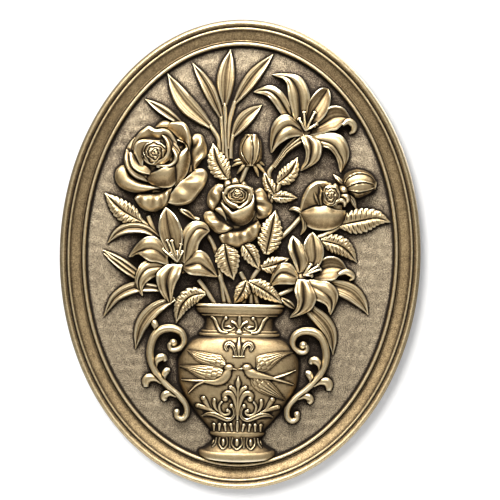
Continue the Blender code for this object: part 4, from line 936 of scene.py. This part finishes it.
def lily_right():
    piece = Piece("lily_right")
    piece.dome((50.5, -20), (7.5, 6.5), 3, 3.5)
    piece.petal(
        [(48, -14), (45, -6), (41.5, 1), (40, 8), (43, 16)],
        [(49.5, -14), (48.5, -5), (45.5, 4), (43.3, 16)],
        [(52.5, -13), (56, -4.5), (53.5, 4), (49.5, 11), (43.6, 16)],
        (6, 9, 8, 5), (6, 7, 7, 5),
    )
    piece.petal(
        [(54, -15), (56, -5), (53, 7), (55, 14), (59.5, 19.5)],
        [(56.5, -14), (62, -3.5), (61.5, 8.5), (59.8, 19.5)],
        [(59.5, -13), (66, -7), (69, 2), (67, 11), (60.1, 19.5)],
        (6, 9, 9, 4), (5, 7, 7, 4), 0,
    )
    piece.petal(
        [(59.5, -14), (66.5, -6), (70.5, -1.5), (77, -0.5), (83.5, -3), (88.5, -10)],
        [(53, -18), (63.5, -13.5), (73, -9.5), (82, -9.5), (89, -11.3)],
        [(50.5, -22), (59.5, -21.5), (70, -20), (78, -19.5), (82.5, -15), (88.5, -13)],
        (5, 8, 8.5, 7), (4, 3.6, 4.2, 6.5), -0.8, wave=0.2,
    )
    piece.band(((82.5, -14.5), (87.5, -12.5), (92.5, -14.5), (94, -17.5), (91.5, -19.5)),
               (2, 3.5, 4, 3, 1), (8, 6, 3), 1.5)
    piece.petal(
        [(57, -20), (66, -20.5), (74, -22), (80, -27.5), (81.5, -35), (76.3, -48.5)],
        [(57, -23.5), (65, -27.5), (72.5, -32), (77, -38.5), (76, -48.5)],
        [(57, -27.5), (61, -35), (67, -37.5), (73, -41), (75.7, -48.5)],
        (7, 9, 9, 3), (8, 11, 10, 3),
    )
    piece.petal(
        [(48, -16), (43.5, -8.5), (38, -6.5), (32.5, -8.5), (28, -15), (24.7, -25.3)],
        [(48, -18.5), (39.5, -15), (33, -15.5), (28.5, -20), (25, -25.7)],
        [(48, -21.5), (45, -23.5), (39, -23.5), (31, -24), (25.3, -26.1)],
        (7, 9, 9, 3), (8, 10, 9.5, 3), 1.8,
    )
    piece.petal(
        [(48, -20), (46, -29), (48.5, -37), (47.5, -44.5), (42.3, -51)],
        [(52, -20), (53.5, -30.5), (53.5, -38.5), (50, -46.5), (42.6, -51.4)],
        [(57, -20.5), (62, -29.5), (63.5, -36.5), (58, -45.5), (43, -51.8)],
        (8, 11, 10, 4), (8, 11.5, 10.5, 4), 1.8,
    )
    stamens(piece, (53, -16), ((59, -7), (65, -8), (67, -11), (60, -16.5)), 9)
    return piece.make()


# The vase from its lip to its foot: height on the field, half width, and how far the middle of
# each ring hangs below its ends
VASE_PROFILE = np.array((
    (-41.6, 36.0, 0.3), (-42.2, 37.1, 0.3), (-43.0, 37.2, 0.3), (-43.6, 36.2, 0.3),
    (-44.2, 36.0, 0.3), (-45.4, 36.3, 0.3), (-46.9, 35.8, 0.3), (-48.3, 34.6, 0.4), (-49.3, 32.8, 0.4),
    (-49.8, 31.6, 0.4), (-50.3, 32.2, 0.4), (-50.9, 31.4, 0.4), (-51.4, 29.6, 0.5), (-53.0, 28.5, 0.5),
    (-55.5, 28.0, 0.5), (-58.0, 28.1, 0.6), (-60.5, 29.0, 0.7), (-62.6, 30.6, 0.8), (-63.2, 31.9, 0.8),
    (-65.0, 32.3, 0.8), (-65.5, 33.4, 0.8), (-66.7, 33.8, 0.8), (-67.6, 33.2, 0.8),
    (-68.2, 32.6, 0.8), (-68.8, 33.4, 0.8), (-70.8, 38.2, 0.85), (-73.5, 42.0, 0.9),
    (-77.5, 45.8, 0.95), (-82.0, 48.4, 1.0), (-88.0, 50.2, 1.0), (-94.0, 50.5, 1.0),
    (-100.5, 50.3, 1.0), (-107.0, 49.2, 1.0), (-112.5, 47.4, 1.0), (-118.0, 44.8, 1.0),
    (-123.0, 41.7, 1.0), (-128.0, 37.8, 1.0), (-135.0, 31.8, 1.0), (-142.0, 25.6, 1.0),
    (-145.5, 22.6, 0.8), (-146.8, 21.6, 0.6), (-147.6, 22.5, 0.6), (-148.7, 22.7, 0.6),
    (-149.9, 21.8, 0.7), (-151.3, 20.0, 1.0), (-152.4, 19.5, 1.3), (-154.0, 19.8, 1.6),
    (-156.0, 21.0, 2.0), (-158.5, 23.6, 2.7), (-160.2, 26.2, 3.1), (-161.4, 28.6, 3.5),
    (-161.9, 30.2, 3.8), (-162.8, 31.4, 4.1), (-164.4, 31.9, 4.4), (-166.2, 31.6, 4.6), (-167.2, 30.4, 4.7),
))
VASE_MIDDLE = 0.6
ORNAMENT_RISE = 0.25
VASE_DEPTH = 16.0
VASE_DRAWN = 101.0


def vase_depth(half):
    return VASE_DEPTH * (2 * half / VASE_DRAWN) ** 0.75


def vase_height(across, up):
    """How far the vase stands above the field at points of the drawing."""
    place = -VASE_PROFILE[:, 0]
    across = across - VASE_MIDDLE
    half = np.interp(-up, place, VASE_PROFILE[:, 1])
    inside = np.sqrt(np.clip(1 - (across / half) ** 2, 0, 1))
    ring = up + np.interp(-up, place, VASE_PROFILE[:, 2]) * inside
    half = np.interp(-ring, place, VASE_PROFILE[:, 1])
    return vase_depth(half) * np.sqrt(np.clip(1 - (across / half) ** 2, 0, 1))


def vase():
    piece = Piece("vase")
    sectors = 90
    profile = spread(VASE_PROFILE, np.linspace(0, 1, 3 * len(VASE_PROFILE)))
    angle = np.linspace(0, math.pi, sectors)
    up, half, sag = (profile[:, k, None] for k in range(3))
    grid = np.empty((len(profile), sectors, 3))
    grid[..., 0] = VASE_MIDDLE - half * np.cos(angle)
    grid[..., 1] = up - sag * np.sin(angle)
    grid[..., 2] = vase_depth(half) * np.sin(angle)
    piece.shell(grid)
    vase_ornament(piece)
    return piece.make()


def feathers(s, t):
    """A wing's face: three rows of scales by the shoulder, then long quills."""
    row = s * 8
    scale = np.abs(np.sin(math.pi * (4 * t + 0.5 * np.floor(row)))) * (1 - 0.6 * (row % 1))
    quill = np.abs(np.cos(math.pi * 5 * t))
    return np.where(s < 0.375, 0.75 * scale, 0.7 * quill) * np.sin(math.pi * t.clip(0, 1)) ** 0.4


def vase_ornament(piece):
    """In low relief on the vase: scrolls round its neck, a lily flower, two swallows beak to beak,
    a leaf scroll, a row of upright buds over the ring and rounded leaves on the foot."""
    def strip(spine, widths, crown, rows=26, section=ridged):
        piece.band(spine, widths, (ORNAMENT_RISE,) * 2, crown, section, rows, 13, ground=vase_height)

    def knob(place, halves, crown):
        piece.dome(place, halves, ORNAMENT_RISE, crown, 22, 6, ground=vase_height)

    def upright(start, middle, end, widths, crown):
        strip([(VASE_MIDDLE, up) for up in (start, middle, end)], widths, crown, 20, rounded)

    def both(points, widths, crown, rows=26, section=ridged, ball=0):
        """A strip on each side of the middle, with a ball of this radius at its start."""
        for side in (1, -1):
            spine = [(VASE_MIDDLE + side * x, y) for x, y in points]
            strip(spine, widths, crown, rows, section)
            if ball:
                knob(spine[0], (ball, ball), ball)

    def wing(top, low):
        edges = [np.array(curve(points, 7)) for points in (top, low)]
        middle = line((edges[0] + edges[1]) / 2, 1.3, 1.8, 1.4, 0.4)
        piece.loft(
            line(edges[0], 0.4, 0.9, 0.4), middle, line(edges[1], 0.3, 0.5, 0.3),
            rows=56, columns=31, detail=feathers, ground=vase_height,
        )

    both(
        ((23.4, -51.9), (20.4, -54.9), (18.8, -58.7), (16.9, -62.5), (14.2, -64.6), (10, -65)),
        (1.8, 2.6, 2.6, 2.4, 1.6), 1.2, 40, rounded,
    )
    both(
        ((11.4, -53.2), (13.1, -55.2), (14.2, -58.9), (13.3, -62.3), (10.2, -63.3), (6.8, -62.6),
         (4.2, -60.8)),
        (1.9, 1.9, 2, 1.6), 1.1, 40, ball=1.6,
    )
    both(((11.6, -59.8), (8.6, -60), (5.7, -61.3)), (0.8, 2.6, 0.8), 1.1)
    upright(-51.8, -55.5, -61, (2.4, 3.4, 1.6), 1.5)
    both(((6.4, -55.8), (3.6, -57.2), (1.7, -59.4), (0.5, -61.5)), (2.8, 2.8, 1.8), 1.3)
    upright(-61, -63, -65.2, (1.4, 4, 6), 1.3)

    upright(-84.2, -76, -69, (1.6, 4.2, 0.8), 2.0)
    both(
        ((2.4, -84), (2.9, -80), (4.7, -75.9), (7.4, -73.8), (10, -74.4), (11, -77), (9.6, -79.4)),
        (2.2, 2.8, 3.6, 3.4, 2.6), 1.5, 44, folded,
    )
    both(((-4.5, -84.4), (4.5, -84.4)), (1.2, 1.6, 1.2), 0.9, 12)

    strip(
        ((-7.6, -94), (-8.8, -99), (-12.2, -103.6), (-17.5, -106), (-23.5, -106), (-29.5, -105.5)),
        (4.6, 7.6, 7.6, 5.6, 3.6, 2), 2.4, 40, rounded,
    )
    knob((-7.5, -93.9), (4.0, 2.9), 2.7)
    strip(((-4.8, -94.4), (-1, -95.5)), (2, 0.7), 1.2, 10)
    wing(
        ((-10.7, -88.3), (-12.5, -85), (-18, -83.7), (-26.3, -82.4), (-33.8, -81), (-41.8, -80.3)),
        ((-10.9, -93.5), (-15, -94.6), (-20.5, -93.1), (-27.4, -91.5), (-34, -88.6), (-41.8, -80.7)),
    )
    wing(
        ((-12.3, -96), (-15.5, -93.9), (-21.9, -93.2), (-30.1, -92.9), (-39.1, -92.9), (-48, -93.5)),
        ((-14.5, -103), (-18, -105.7), (-26.5, -105), (-33.4, -101.9), (-40.4, -97.6), (-48, -94)),
    )
    strip(((-28.5, -105.2), (-36.8, -105.3), (-46.4, -105)), (2.6, 2.2, 0.8), 1.3)
    strip(((-28, -106), (-34.6, -109.6), (-40.4, -115.9)), (2.6, 2.2, 0.8), 1.3)

    strip(
        ((6.8, -94.3), (9.8, -97.6), (14.8, -99.6), (20, -100.6), (25.5, -101.4), (31, -102.3)),
        (4.6, 7.8, 7.2, 5.4, 3.6, 2), 2.4, 40, rounded,
    )
    knob((7.6, -93.5), (4.0, 2.9), 2.7)
    strip(((4.6, -94.1), (0.9, -94.9)), (2, 0.7), 1.2, 10)
    wing(
        ((15.5, -91.5), (15.2, -86), (18.5, -83.6), (26.1, -81.7), (36.3, -80.2), (45.9, -80)),
        ((17, -96.6), (20.2, -97), (26.5, -94.2), (33.5, -87.6), (39.8, -83.3), (45.9, -80.5)),
    )
    wing(
        ((16.5, -100), (20.5, -100.4), (26.5, -104.8), (32.8, -111.2), (37, -116.4), (39.5, -119.5)),
        ((10.5, -101.5), (11.2, -106), (14.8, -110.8), (20.6, -114.2), (30.2, -117.4), (39.2, -120)),
    )
    strip(((30, -102), (38.8, -99.1), (47.9, -95.3)), (2.6, 2.2, 0.8), 1.3)
    strip(((30, -102.6), (38.2, -104.6), (46.3, -107.2)), (2.6, 2.2, 0.8), 1.3)

    upright(-111.5, -107, -101.4, (2, 4.6, 0.8), 2.1)
    upright(-110.5, -124, -137, (2, 2.9, 1.8), 1.6)
    both(((6.1, -110.2), (3.3, -112.3), (1.4, -116.4), (0.5, -121.9)), (3.6, 3.4, 2.2, 1.2), 1.5, 30,
         rounded, 1.8)
    both(
        ((10.4, -119.6), (11, -116.6), (8.2, -114.9), (5.2, -116.1), (2.8, -120.1), (1.2, -126.7),
         (0.6, -132.9)),
        (4.4, 4.6, 3.8, 2.8, 1.8), 1.9, 50, rounded, 2.5,
    )
    both(
        ((5.2, -125.6), (3.1, -128.5), (2.7, -132.8), (5, -136.3), (8.9, -137.1), (14.1, -135), (20, -132.9),
         (25.1, -132.8), (29.2, -134.5)),
        (2.6, 2.4, 2.8, 4, 4.4, 3.6, 1), 1.7, 64, folded, 1.8,
    )
    both(
        ((8.4, -129.6), (6.6, -130.4), (7.6, -132.4), (11, -133.4), (14.4, -130.8), (15.3, -125.6),
         (13.2, -122.3)),
        (2, 2.2, 2.2, 1.8), 1.3, 44, rounded, 1.5,
    )
    both(((28.7, -119.9), (26.6, -123.2), (23.7, -127.9), (20, -131.3)), (4.2, 3.6, 2.2, 1.4), 1.5, 26,
         rounded, 2.1)
    both(((19.5, -121.1), (19.6, -124.3), (17.9, -128.5), (14.8, -131.2)), (3.2, 2.8, 1.8, 1.2), 1.4, 26,
         rounded, 1.6)
    both(((33.4, -126.2), (28.5, -127.4), (23.7, -129), (18.7, -131.2)), (3.8, 3.6, 2.6, 1.4), 1.5, 26,
         rounded, 1.9)

    upright(-138.6, -142, -146.6, (1.8, 2.8, 1.6), 1.3)
    for head, foot in ((5.4, 4.3), (10.4, 9.6), (14.9, 15.0), (19.6, 19.4)):
        both(((head, -141.6), ((head + foot) / 2, -143.8), (foot, -146.4)), (2.4, 2, 1.4), 1.3, 14,
             rounded, 1.5)

    for centre, half in ((0, 4.3), (11.5, 3.4)):
        both(
            ((centre - 0.86 * half, -152.4), (centre - half, -157.6), (centre, -161.6),
             (centre + half, -157.6),
             (centre + 0.86 * half, -152.4)),
            (1.6, 2, 2, 1.6), 1.3, 50,
        )
        for side in (1, -1) if centre else (1,):
            knob((VASE_MIDDLE + side * centre, -156.2), (0.42 * half, 3.2), 1.7)
    both(((17.2, -152.8), (18.2, -157.2), (20.4, -160)), (1.6, 2, 1.4), 1.3)
    both(((19.3, -154.4), (20.6, -157.8)), (1, 2, 0.8), 1.2, 14)
    both(((5.8, -152.2), (5.8, -155), (5.9, -160.5)), (1, 1.6, 2.4), 1.1, 20)


def handles():
    """The two scrolled handles, with small curled leaves; the uppermost leaf is on the left one."""
    piece = Piece("handles")
    path = (
        (-54, -74.3), (-57, -76.5), (-55.5, -80), (-51, -80), (-46.5, -77), (-45, -72), (-47, -66.5),
        (-51.5, -63.4), (-57.5, -62.4), (-64, -63.9), (-69.3, -68.4), (-72.2, -75.5), (-73.2, -84),
        (-71.4, -92.5),
        (-67.5, -100), (-61.5, -107), (-55, -113), (-48.5, -118.3), (-43.3, -124.5), (-41.5, -130),
        (-42.5, -135), (-46, -137.5), (-49.8, -135.5), (-50, -132),
    )
    widths = (3.2, 3.2, 4.4, 5.6, 5.4, 4.9, 4.1, 3.7, 3.7, 3.6, 3.2)
    sprouts = (
        (((-69.5, -67.5), (-68.5, -63), (-70, -59), (-72.5, -56)), 3.4),
        (((-63.5, -108), (-68, -104.8), (-73.3, -104), (-76, -106.7), (-76, -111.3)), 4.6),
        (((-51, -119), (-55.5, -116.7), (-59.3, -117.3), (-60.9, -120), (-59.6, -122.3)), 3.8),
        (((-68.2, -95.8), (-68, -91), (-65.3, -87.3), (-62, -87), (-60, -89.3)), 4.0),
        (((-61, -106.5), (-61, -101.8), (-59, -98), (-56.8, -97)), 3.4),
    )
    for side in (1, -1):
        piece.band([(side * x, y) for x, y in path], widths, (5, 6, 5), 2.8, rounded, 190, 17)
        for place, radius in (((-54, -74.5), 2.7), ((-50, -132), 2.1)):
            piece.dome((side * place[0], place[1]), (radius, radius), 5.2, radius, 26, 8)
        for spine, width in sprouts[0 if side > 0 else 1:]:
            curled = [width * share for share in (0.35, 0.7, 1.15, 1.3, 0.7)]
            piece.band([(side * x, y) for x, y in spine], curled, (4.5, 5, 4), 1.6, rounded, 40, 13)
    return piece.make()


def slot_outline(width, low, length, arc=16):
    """An upright slot with round ends, as points (across, up). low is where its lower end's
    centre is, and length how far up its other centre is."""
    turn = np.linspace(0, math.pi, arc + 1)
    top = np.column_stack([width / 2 * np.cos(turn), low + length + width / 2 * np.sin(turn)])
    bottom = np.column_stack([-width / 2 * np.cos(turn), low - width / 2 * np.sin(turn)])
    return np.concatenate([top, bottom])


def prism(name, outline, start, end):
    """A closed prism from depth start to depth end in front of the back, to cut with."""
    count = len(outline)
    ends = [np.column_stack([outline, np.full(count, depth)]) for depth in (start, end)]
    faces = [tuple(range(count)), tuple(range(2 * count - 1, count - 1, -1))]
    faces += [(i, i + count, (i + 1) % count + count, (i + 1) % count) for i in range(count)]
    return mesh_object(name, np.concatenate(ends), faces)


def ground_body():
    """The frame, the hammered field and the back with its hanging slot, as one closed form."""
    angle = np.linspace(0, 2 * math.pi, FRAME_SEGMENTS, endpoint=False)
    rings = []
    for inset, height in FRAME_SECTION:
        x = (HALF_WIDTH - inset) * np.cos(angle)
        z = (HALF_HEIGHT - inset) * np.sin(angle)
        rings.append(np.column_stack([x, z, np.full_like(angle, height)]))
    # The field's rings lie closer together towards the frame, and the last leaves a small middle
    inwards = np.linspace(0, 1, FIELD_RINGS)[1:]
    for share in 1 - FIELD_END * (0.75 * inwards + 0.25 * inwards**3):
        x = (HALF_WIDTH - FRAME_WIDTH) * share * np.cos(angle)
        z = (HALF_HEIGHT - FRAME_WIDTH) * share * np.sin(angle)
        fall = np.clip((1 - share) * 30, 0, 1)
        height = FIELD - HAMMERED[0][0] * fall
        for depth, size, seed in HAMMERED:
            height += depth * fall * ground_noise(x, z, size, seed)
        rings.append(np.column_stack([x, z, height]))
    grid = np.stack(rings)
    heights.add(np.concatenate([grid, grid[:, :1]], axis=1))
    number, faces = quads(len(rings), FRAME_SEGMENTS, closed=True)
    faces.append(tuple(number[0, ::-1].tolist()))
    faces.append(tuple(number[-1].tolist()))
    body = mesh_object("plaque_body", grid.reshape(-1, 3), faces)
    bpy.context.scene.collection.objects.link(body)
    low = HALF_HEIGHT - ENTRY_BELOW_TOP
    turn = np.linspace(0, 2 * math.pi, 32, endpoint=False)
    entry = np.column_stack([ENTRY_WIDTH / 2 * np.cos(turn), low + ENTRY_WIDTH / 2 * np.sin(turn)])
    # The entry and the slot start behind the back and end inside the pocket
    cutters = (
        prism("entry", entry, -1, LEDGE + 1.2),
        prism("slot", slot_outline(SLOT_WIDTH, low, SLOT_RUN), -1, LEDGE + 1.3),
        prism("pocket", slot_outline(POCKET_WIDTH, low, SLOT_RUN), LEDGE, POCKET_END),
    )
    for cutter in cutters:
        bpy.context.scene.collection.objects.link(cutter)
        cut = body.modifiers.new(cutter.name, "BOOLEAN")
        cut.operation = "DIFFERENCE"
        cut.object = cutter
        cut.solver = "MANIFOLD"
    apply_modifiers(body)
    for cutter in cutters:
        bpy.data.objects.remove(cutter, do_unlink=True)
    return body


# How far away the neighbours are that make a crease, a hollow or an edge
CREASE_REACH = (0.5, 0.9, 1.5)
HOLLOW_REACH = (3.0, 5.0, 8.0, 12.0, 18.0)
EDGE_REACH = (0.9, 2.0)

# Below this height a point is on the flat back, which has one finish: its crease, hollow and edge
BACK_END = 0.5
BACK_FINISH = (0.1, 0.0, 0.45)


def weather_and_painted_light(piece):
    """Store how deep each point lies among its neighbours, and how far it stands out of them:
    the depth darkens it as patina and as painted shade, and standing out lightens it as rubbed
    wear and as painted highlight. The flat back, which the map of heights doesn't hold, gets an
    even finish."""
    mesh = piece.data
    count = len(mesh.vertices)
    place = np.empty(count * 3)
    mesh.vertices.foreach_get("co", place)
    place = place.reshape(-1, 3) / MM
    x, z, out = place[:, 0], place[:, 2], -place[:, 1]
    turns = np.linspace(0, 2 * math.pi, 20, endpoint=False)

    def around(radii):
        """The mean rise over the horizon, 0 to 1, among neighbours at these distances."""
        total = np.zeros(count)
        for turn in turns:
            steepest = np.zeros(count)
            for radius in radii:
                seen = heights.at(x + radius * math.cos(turn), z + radius * math.sin(turn))
                np.maximum(steepest, (seen - out - 0.15) / radius, out=steepest)
            total += steepest / np.sqrt(1 + steepest**2)
        return total / len(turns)

    def stands_out(radius):
        total = np.zeros(count)
        for turn in turns:
            total += heights.at(x + radius * math.cos(turn), z + radius * math.sin(turn))
        return out - total / len(turns)

    # crease and hollow measure how shut in a point is, and darken it as patina and as painted shade; edge
    # lightens raised points as rubbed wear and as painted highlight
    crease = around(CREASE_REACH)
    hollow = np.clip((around(HOLLOW_REACH) - 0.28) / 0.5, 0, 1)
    edge = np.clip(0.5 + stands_out(EDGE_REACH[0]) / 1.8 + stands_out(EDGE_REACH[1]) / 9, 0, 1)
    back = out < BACK_END
    crease[back], hollow[back], edge[back] = BACK_FINISH
    for name, values in (("crease", crease), ("hollow", hollow), ("edge", edge)):
        attribute = mesh.attributes.new(name, "FLOAT", "POINT")
        attribute.data.foreach_set("value", values)


# Tones from rubbed metal and painted highlight to full patina and painted shade: the relief's and the
# frame's, and the field's greyer ones
GOLD = (
    (0.0, (0.97, 0.85, 0.60)), (0.26, (0.69, 0.555, 0.33)), (0.46, (0.465, 0.345, 0.185)),
    (0.68, (0.185, 0.128, 0.066)), (1.0, (0.024, 0.018, 0.013)),
)
GREY = (
    (0.0, (0.94, 0.85, 0.66)), (0.26, (0.655, 0.55, 0.38)), (0.46, (0.415, 0.335, 0.222)),
    (0.68, (0.155, 0.12, 0.085)), (1.0, (0.03, 0.023, 0.018)),
)


def brass(name, grain, dull, shift, hollows=0.42, tones=GOLD):
    """Antique brass. grain is the strength of its cast grain, dull is how much patina lies on open
    faces, hollows is how much patina and painted shade lie in recesses, shift moves its noise so
    that pieces differ, and tones are its colours from rubbed metal and painted highlight to full
    patina and painted shade."""
    material = bpy.data.materials.new(name)
    material.use_nodes = True
    nodes = material.node_tree.nodes
    links = material.node_tree.links
    shader = nodes["Principled BSDF"]
    shader.inputs["Metallic"].default_value = 1.0

    def node(kind, **values):
        made = nodes.new(kind)
        for key, value in values.items():
            setattr(made, key, value)
        return made

    def math_node(operation, a, b=None, c=None):
        made = node("ShaderNodeMath", operation=operation)
        for slot, value in enumerate((a, b, c)):
            if value is None:
                continue
            if isinstance(value, (int, float)):
                made.inputs[slot].default_value = value
            else:
                links.new(value, made.inputs[slot])
        return made.outputs[0]

    place = node("ShaderNodeTexCoord")
    moved = node("ShaderNodeMapping")
    moved.inputs["Location"].default_value = (shift, shift, shift)
    links.new(place.outputs["Object"], moved.inputs["Vector"])

    def noise(scale, detail=3.0, rough=0.6):
        made = node("ShaderNodeTexNoise")
        made.inputs["Scale"].default_value = scale
        made.inputs["Detail"].default_value = detail
        made.inputs["Roughness"].default_value = rough
        links.new(moved.outputs[0], made.inputs["Vector"])
        return made.outputs["Fac"]

    crease, hollow, edge = (
        node("ShaderNodeAttribute", attribute_name=word).outputs["Fac"]
        for word in ("crease", "hollow", "edge")
    )
    cloud = noise(38, 4)
    speck = noise(1150, 2, 0.7)
    smear = noise(260, 3)

    # How dark: darker deep among its neighbours, as patina and painted shade, lighter where it stands out,
    # as rubbed wear and painted highlight, broken by noise
    dark = math_node("MULTIPLY_ADD", crease, 0.95, dull + 0.92)
    dark = math_node("MULTIPLY_ADD", hollow, hollows, dark)
    dark = math_node("MULTIPLY_ADD", edge, -1.05, dark)
    for pattern, strength in ((cloud, 0.22), (smear, 0.24), (speck, grain)):
        dark = math_node("MULTIPLY_ADD", math_node("SUBTRACT", pattern, 0.5), strength, dark)
    ramp = node("ShaderNodeValToRGB")
    links.new(dark, ramp.inputs["Fac"])
    for number, (at, colour) in enumerate(tones):
        stop = ramp.color_ramp.elements[number] if number < 2 else ramp.color_ramp.elements.new(at)
        stop.position = at
        stop.color = colour + (1.0,)
    links.new(ramp.outputs["Color"], shader.inputs["Base Color"])

    rough = math_node("MULTIPLY_ADD", dark, 0.32, 0.28)
    rough = math_node("MULTIPLY_ADD", speck, 0.12, rough)
    rough = math_node("MINIMUM", rough, 0.8)
    links.new(rough, shader.inputs["Roughness"])

    def bumps(height, strength, distance):
        made = node("ShaderNodeBump")
        made.inputs["Strength"].default_value = strength
        made.inputs["Distance"].default_value = distance
        links.new(height, made.inputs["Height"])
        return made

    coarse = bumps(smear, 0.35, 0.0004)
    fine = bumps(speck, 0.25 + 0.6 * grain, 0.0003)
    links.new(coarse.outputs["Normal"], fine.inputs["Normal"])
    links.new(fine.outputs["Normal"], shader.inputs["Normal"])
    return material


def dress(piece, material):
    """Give a piece its material and its weathering with painted shade and highlights, and let it stand for
    the solid.
    """
    piece.data.materials.clear()
    piece.data.materials.append(material)
    piece.data.shade_smooth()
    piece.data.set_sharp_from_angle(angle=math.radians(40))
    weather_and_painted_light(piece)
    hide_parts("plaque")
    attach(piece, "root")


body = ground_body()
reliefs = [
    top_leaves(), low_leaves(), rose_leaves(), large_rose(), centre_rose(), right_rose(), buds(),
    lily_above(), lily_left(), lily_right(), vase(), handles(),
]
# The last number of each brass is how much patina and painted shade lie in recesses: little on the frame,
# much on the field
dress(body, brass("brass_frame", 0.8, 0.05, 0.0, 0.04))
body.data.materials.append(brass("brass_field", 1.4, 0.1, 0.0, 0.8, GREY))
for face in body.data.polygons:
    across, _, up = face.center / MM
    share = math.hypot(across / (HALF_WIDTH - FRAME_WIDTH), up / (HALF_HEIGHT - FRAME_WIDTH))
    if share < 1 and face.normal.y < 0:
        face.material_index = 1
for number, piece in enumerate(reliefs):
    dress(piece, brass(f"brass_{piece.name}", 0.22, 0.0, 0.37 * (number + 1)))


# The photograph: a pixel's size on the plaque, where the plaque's centre is in it, how wide it
# is in pixels, and how far the plaque is turned in it. Then the camera's distance
PIXEL = 0.834 * MM
CENTRE_PIXEL = (240.2, 254.4)
PHOTO_WIDTH = 500
TILT = math.radians(1.2)
CAMERA_DISTANCE = 3.2

# The lamps, which all point at the plaque's centre: place, width and power
WALL_LAMP = "wall_light"
LAMPS = {
    "key": ((-0.48, -0.8, 1.05), 0.6, 19),
    "top": ((0.04, -0.6, 0.74), 0.6, 13),
    "sky": ((0.0, -0.5, 1.5), 1.3, 25),
    "fill": ((1.6, -1.8, -0.2), 1.6, 2),
    "behind": ((0.8, 1.6, 0.8), 1.2, 24),
    WALL_LAMP: ((-0.66, -2.0, 0.85), 1.1, 52),
}
WORLD_LIGHT = 0.17

# How far the wall is behind the back, in metres, and how much it glows by itself
WALL_GAP = 0.0012
WALL_GLOW = 0.21


def studio():
    scene = bpy.context.scene
    aside = (PHOTO_WIDTH / 2 - CENTRE_PIXEL[0]) * PIXEL
    above = -(PHOTO_WIDTH / 2 - CENTRE_PIXEL[1]) * PIXEL
    x = aside * math.cos(TILT) - above * math.sin(TILT)
    z = aside * math.sin(TILT) + above * math.cos(TILT)
    data = bpy.data.cameras.new("camera")
    data.sensor_width = 36
    data.lens = data.sensor_width * CAMERA_DISTANCE / (PHOTO_WIDTH * PIXEL)
    data.clip_end = 20
    camera = bpy.data.objects.new("camera", data)
    camera.location = (x, -CAMERA_DISTANCE, z)
    camera.rotation_euler = (math.pi / 2, -TILT, 0)
    scene.collection.objects.link(camera)
    scene.camera = camera

    for name, (place, size, power) in LAMPS.items():
        light = bpy.data.lights.new(name, "AREA")
        light.shape = "DISK"
        light.size = size
        light.energy = power
        thing = bpy.data.objects.new(name, light)
        thing.location = place
        aim = -thing.location
        thing.rotation_euler = aim.to_track_quat("-Z", "Y").to_euler()
        scene.collection.objects.link(thing)
    bpy.data.lights["key"].color = (1.0, 0.98, 0.95)
    world = bpy.data.worlds.new("world")
    world.use_nodes = True
    background = world.node_tree.nodes["Background"]
    background.inputs["Color"].default_value = (1, 1, 1, 1)
    background.inputs["Strength"].default_value = WORLD_LIGHT
    scene.world = world
    scene.view_settings.view_transform = "Standard"
    scene.view_settings.look = "None"


def backdrop():
    """A pale wall behind the plaque, seen from the front only, and a pale floor far below."""
    for name, place, turn, size in (
        ("wall", (0, WALL_GAP, 0), (math.pi / 2, 0, 0), 6.0),
        ("floor", (0, 0, -0.9), (0, 0, 0), 6.0),
    ):
        bpy.ops.mesh.primitive_plane_add(size=size, location=place, rotation=turn)
        plane = bpy.context.object
        plane.name = name
        material = bpy.data.materials.new(name)
        material.use_nodes = True
        nodes = material.node_tree.nodes
        links = material.node_tree.links
        shader = nodes["Principled BSDF"]
        shader.inputs["Base Color"].default_value = (0.86, 0.86, 0.86, 1)
        shader.inputs["Roughness"].default_value = 0.9
        if name == "wall":
            # It glows a little, so that the shadow on it stays light
            shader.inputs["Base Color"].default_value = (0.86, 0.85, 0.83, 1)
            shader.inputs["Emission Color"].default_value = (0.94, 0.96, 1.0, 1)
            shader.inputs["Emission Strength"].default_value = WALL_GLOW
            side = nodes.new("ShaderNodeNewGeometry")
            clear = nodes.new("ShaderNodeBsdfTransparent")
            mix = nodes.new("ShaderNodeMixShader")
            links.new(side.outputs["Backfacing"], mix.inputs["Fac"])
            links.new(shader.outputs["BSDF"], mix.inputs[1])
            links.new(clear.outputs["BSDF"], mix.inputs[2])
            links.new(mix.outputs["Shader"], nodes["Material Output"].inputs["Surface"])
            plane.visible_shadow = False
            plane.visible_diffuse = False
            plane.visible_glossy = False
        plane.data.materials.append(material)


def light_the_wall():
    """The wall has a lamp of its own, so that the plaque's shadow on it is short and soft."""
    scene = bpy.context.scene
    for thing in [thing for thing in scene.objects if thing.type == "LIGHT"]:
        own = thing.name == WALL_LAMP
        group = bpy.data.collections.new(f"lit_by_{thing.name}")
        group.objects.link(bpy.data.objects["wall"])
        group.collection_objects[0].light_linking.link_state = "INCLUDE" if own else "EXCLUDE"
        thing.light_linking.receiver_collection = group


studio()
backdrop()
light_the_wall()
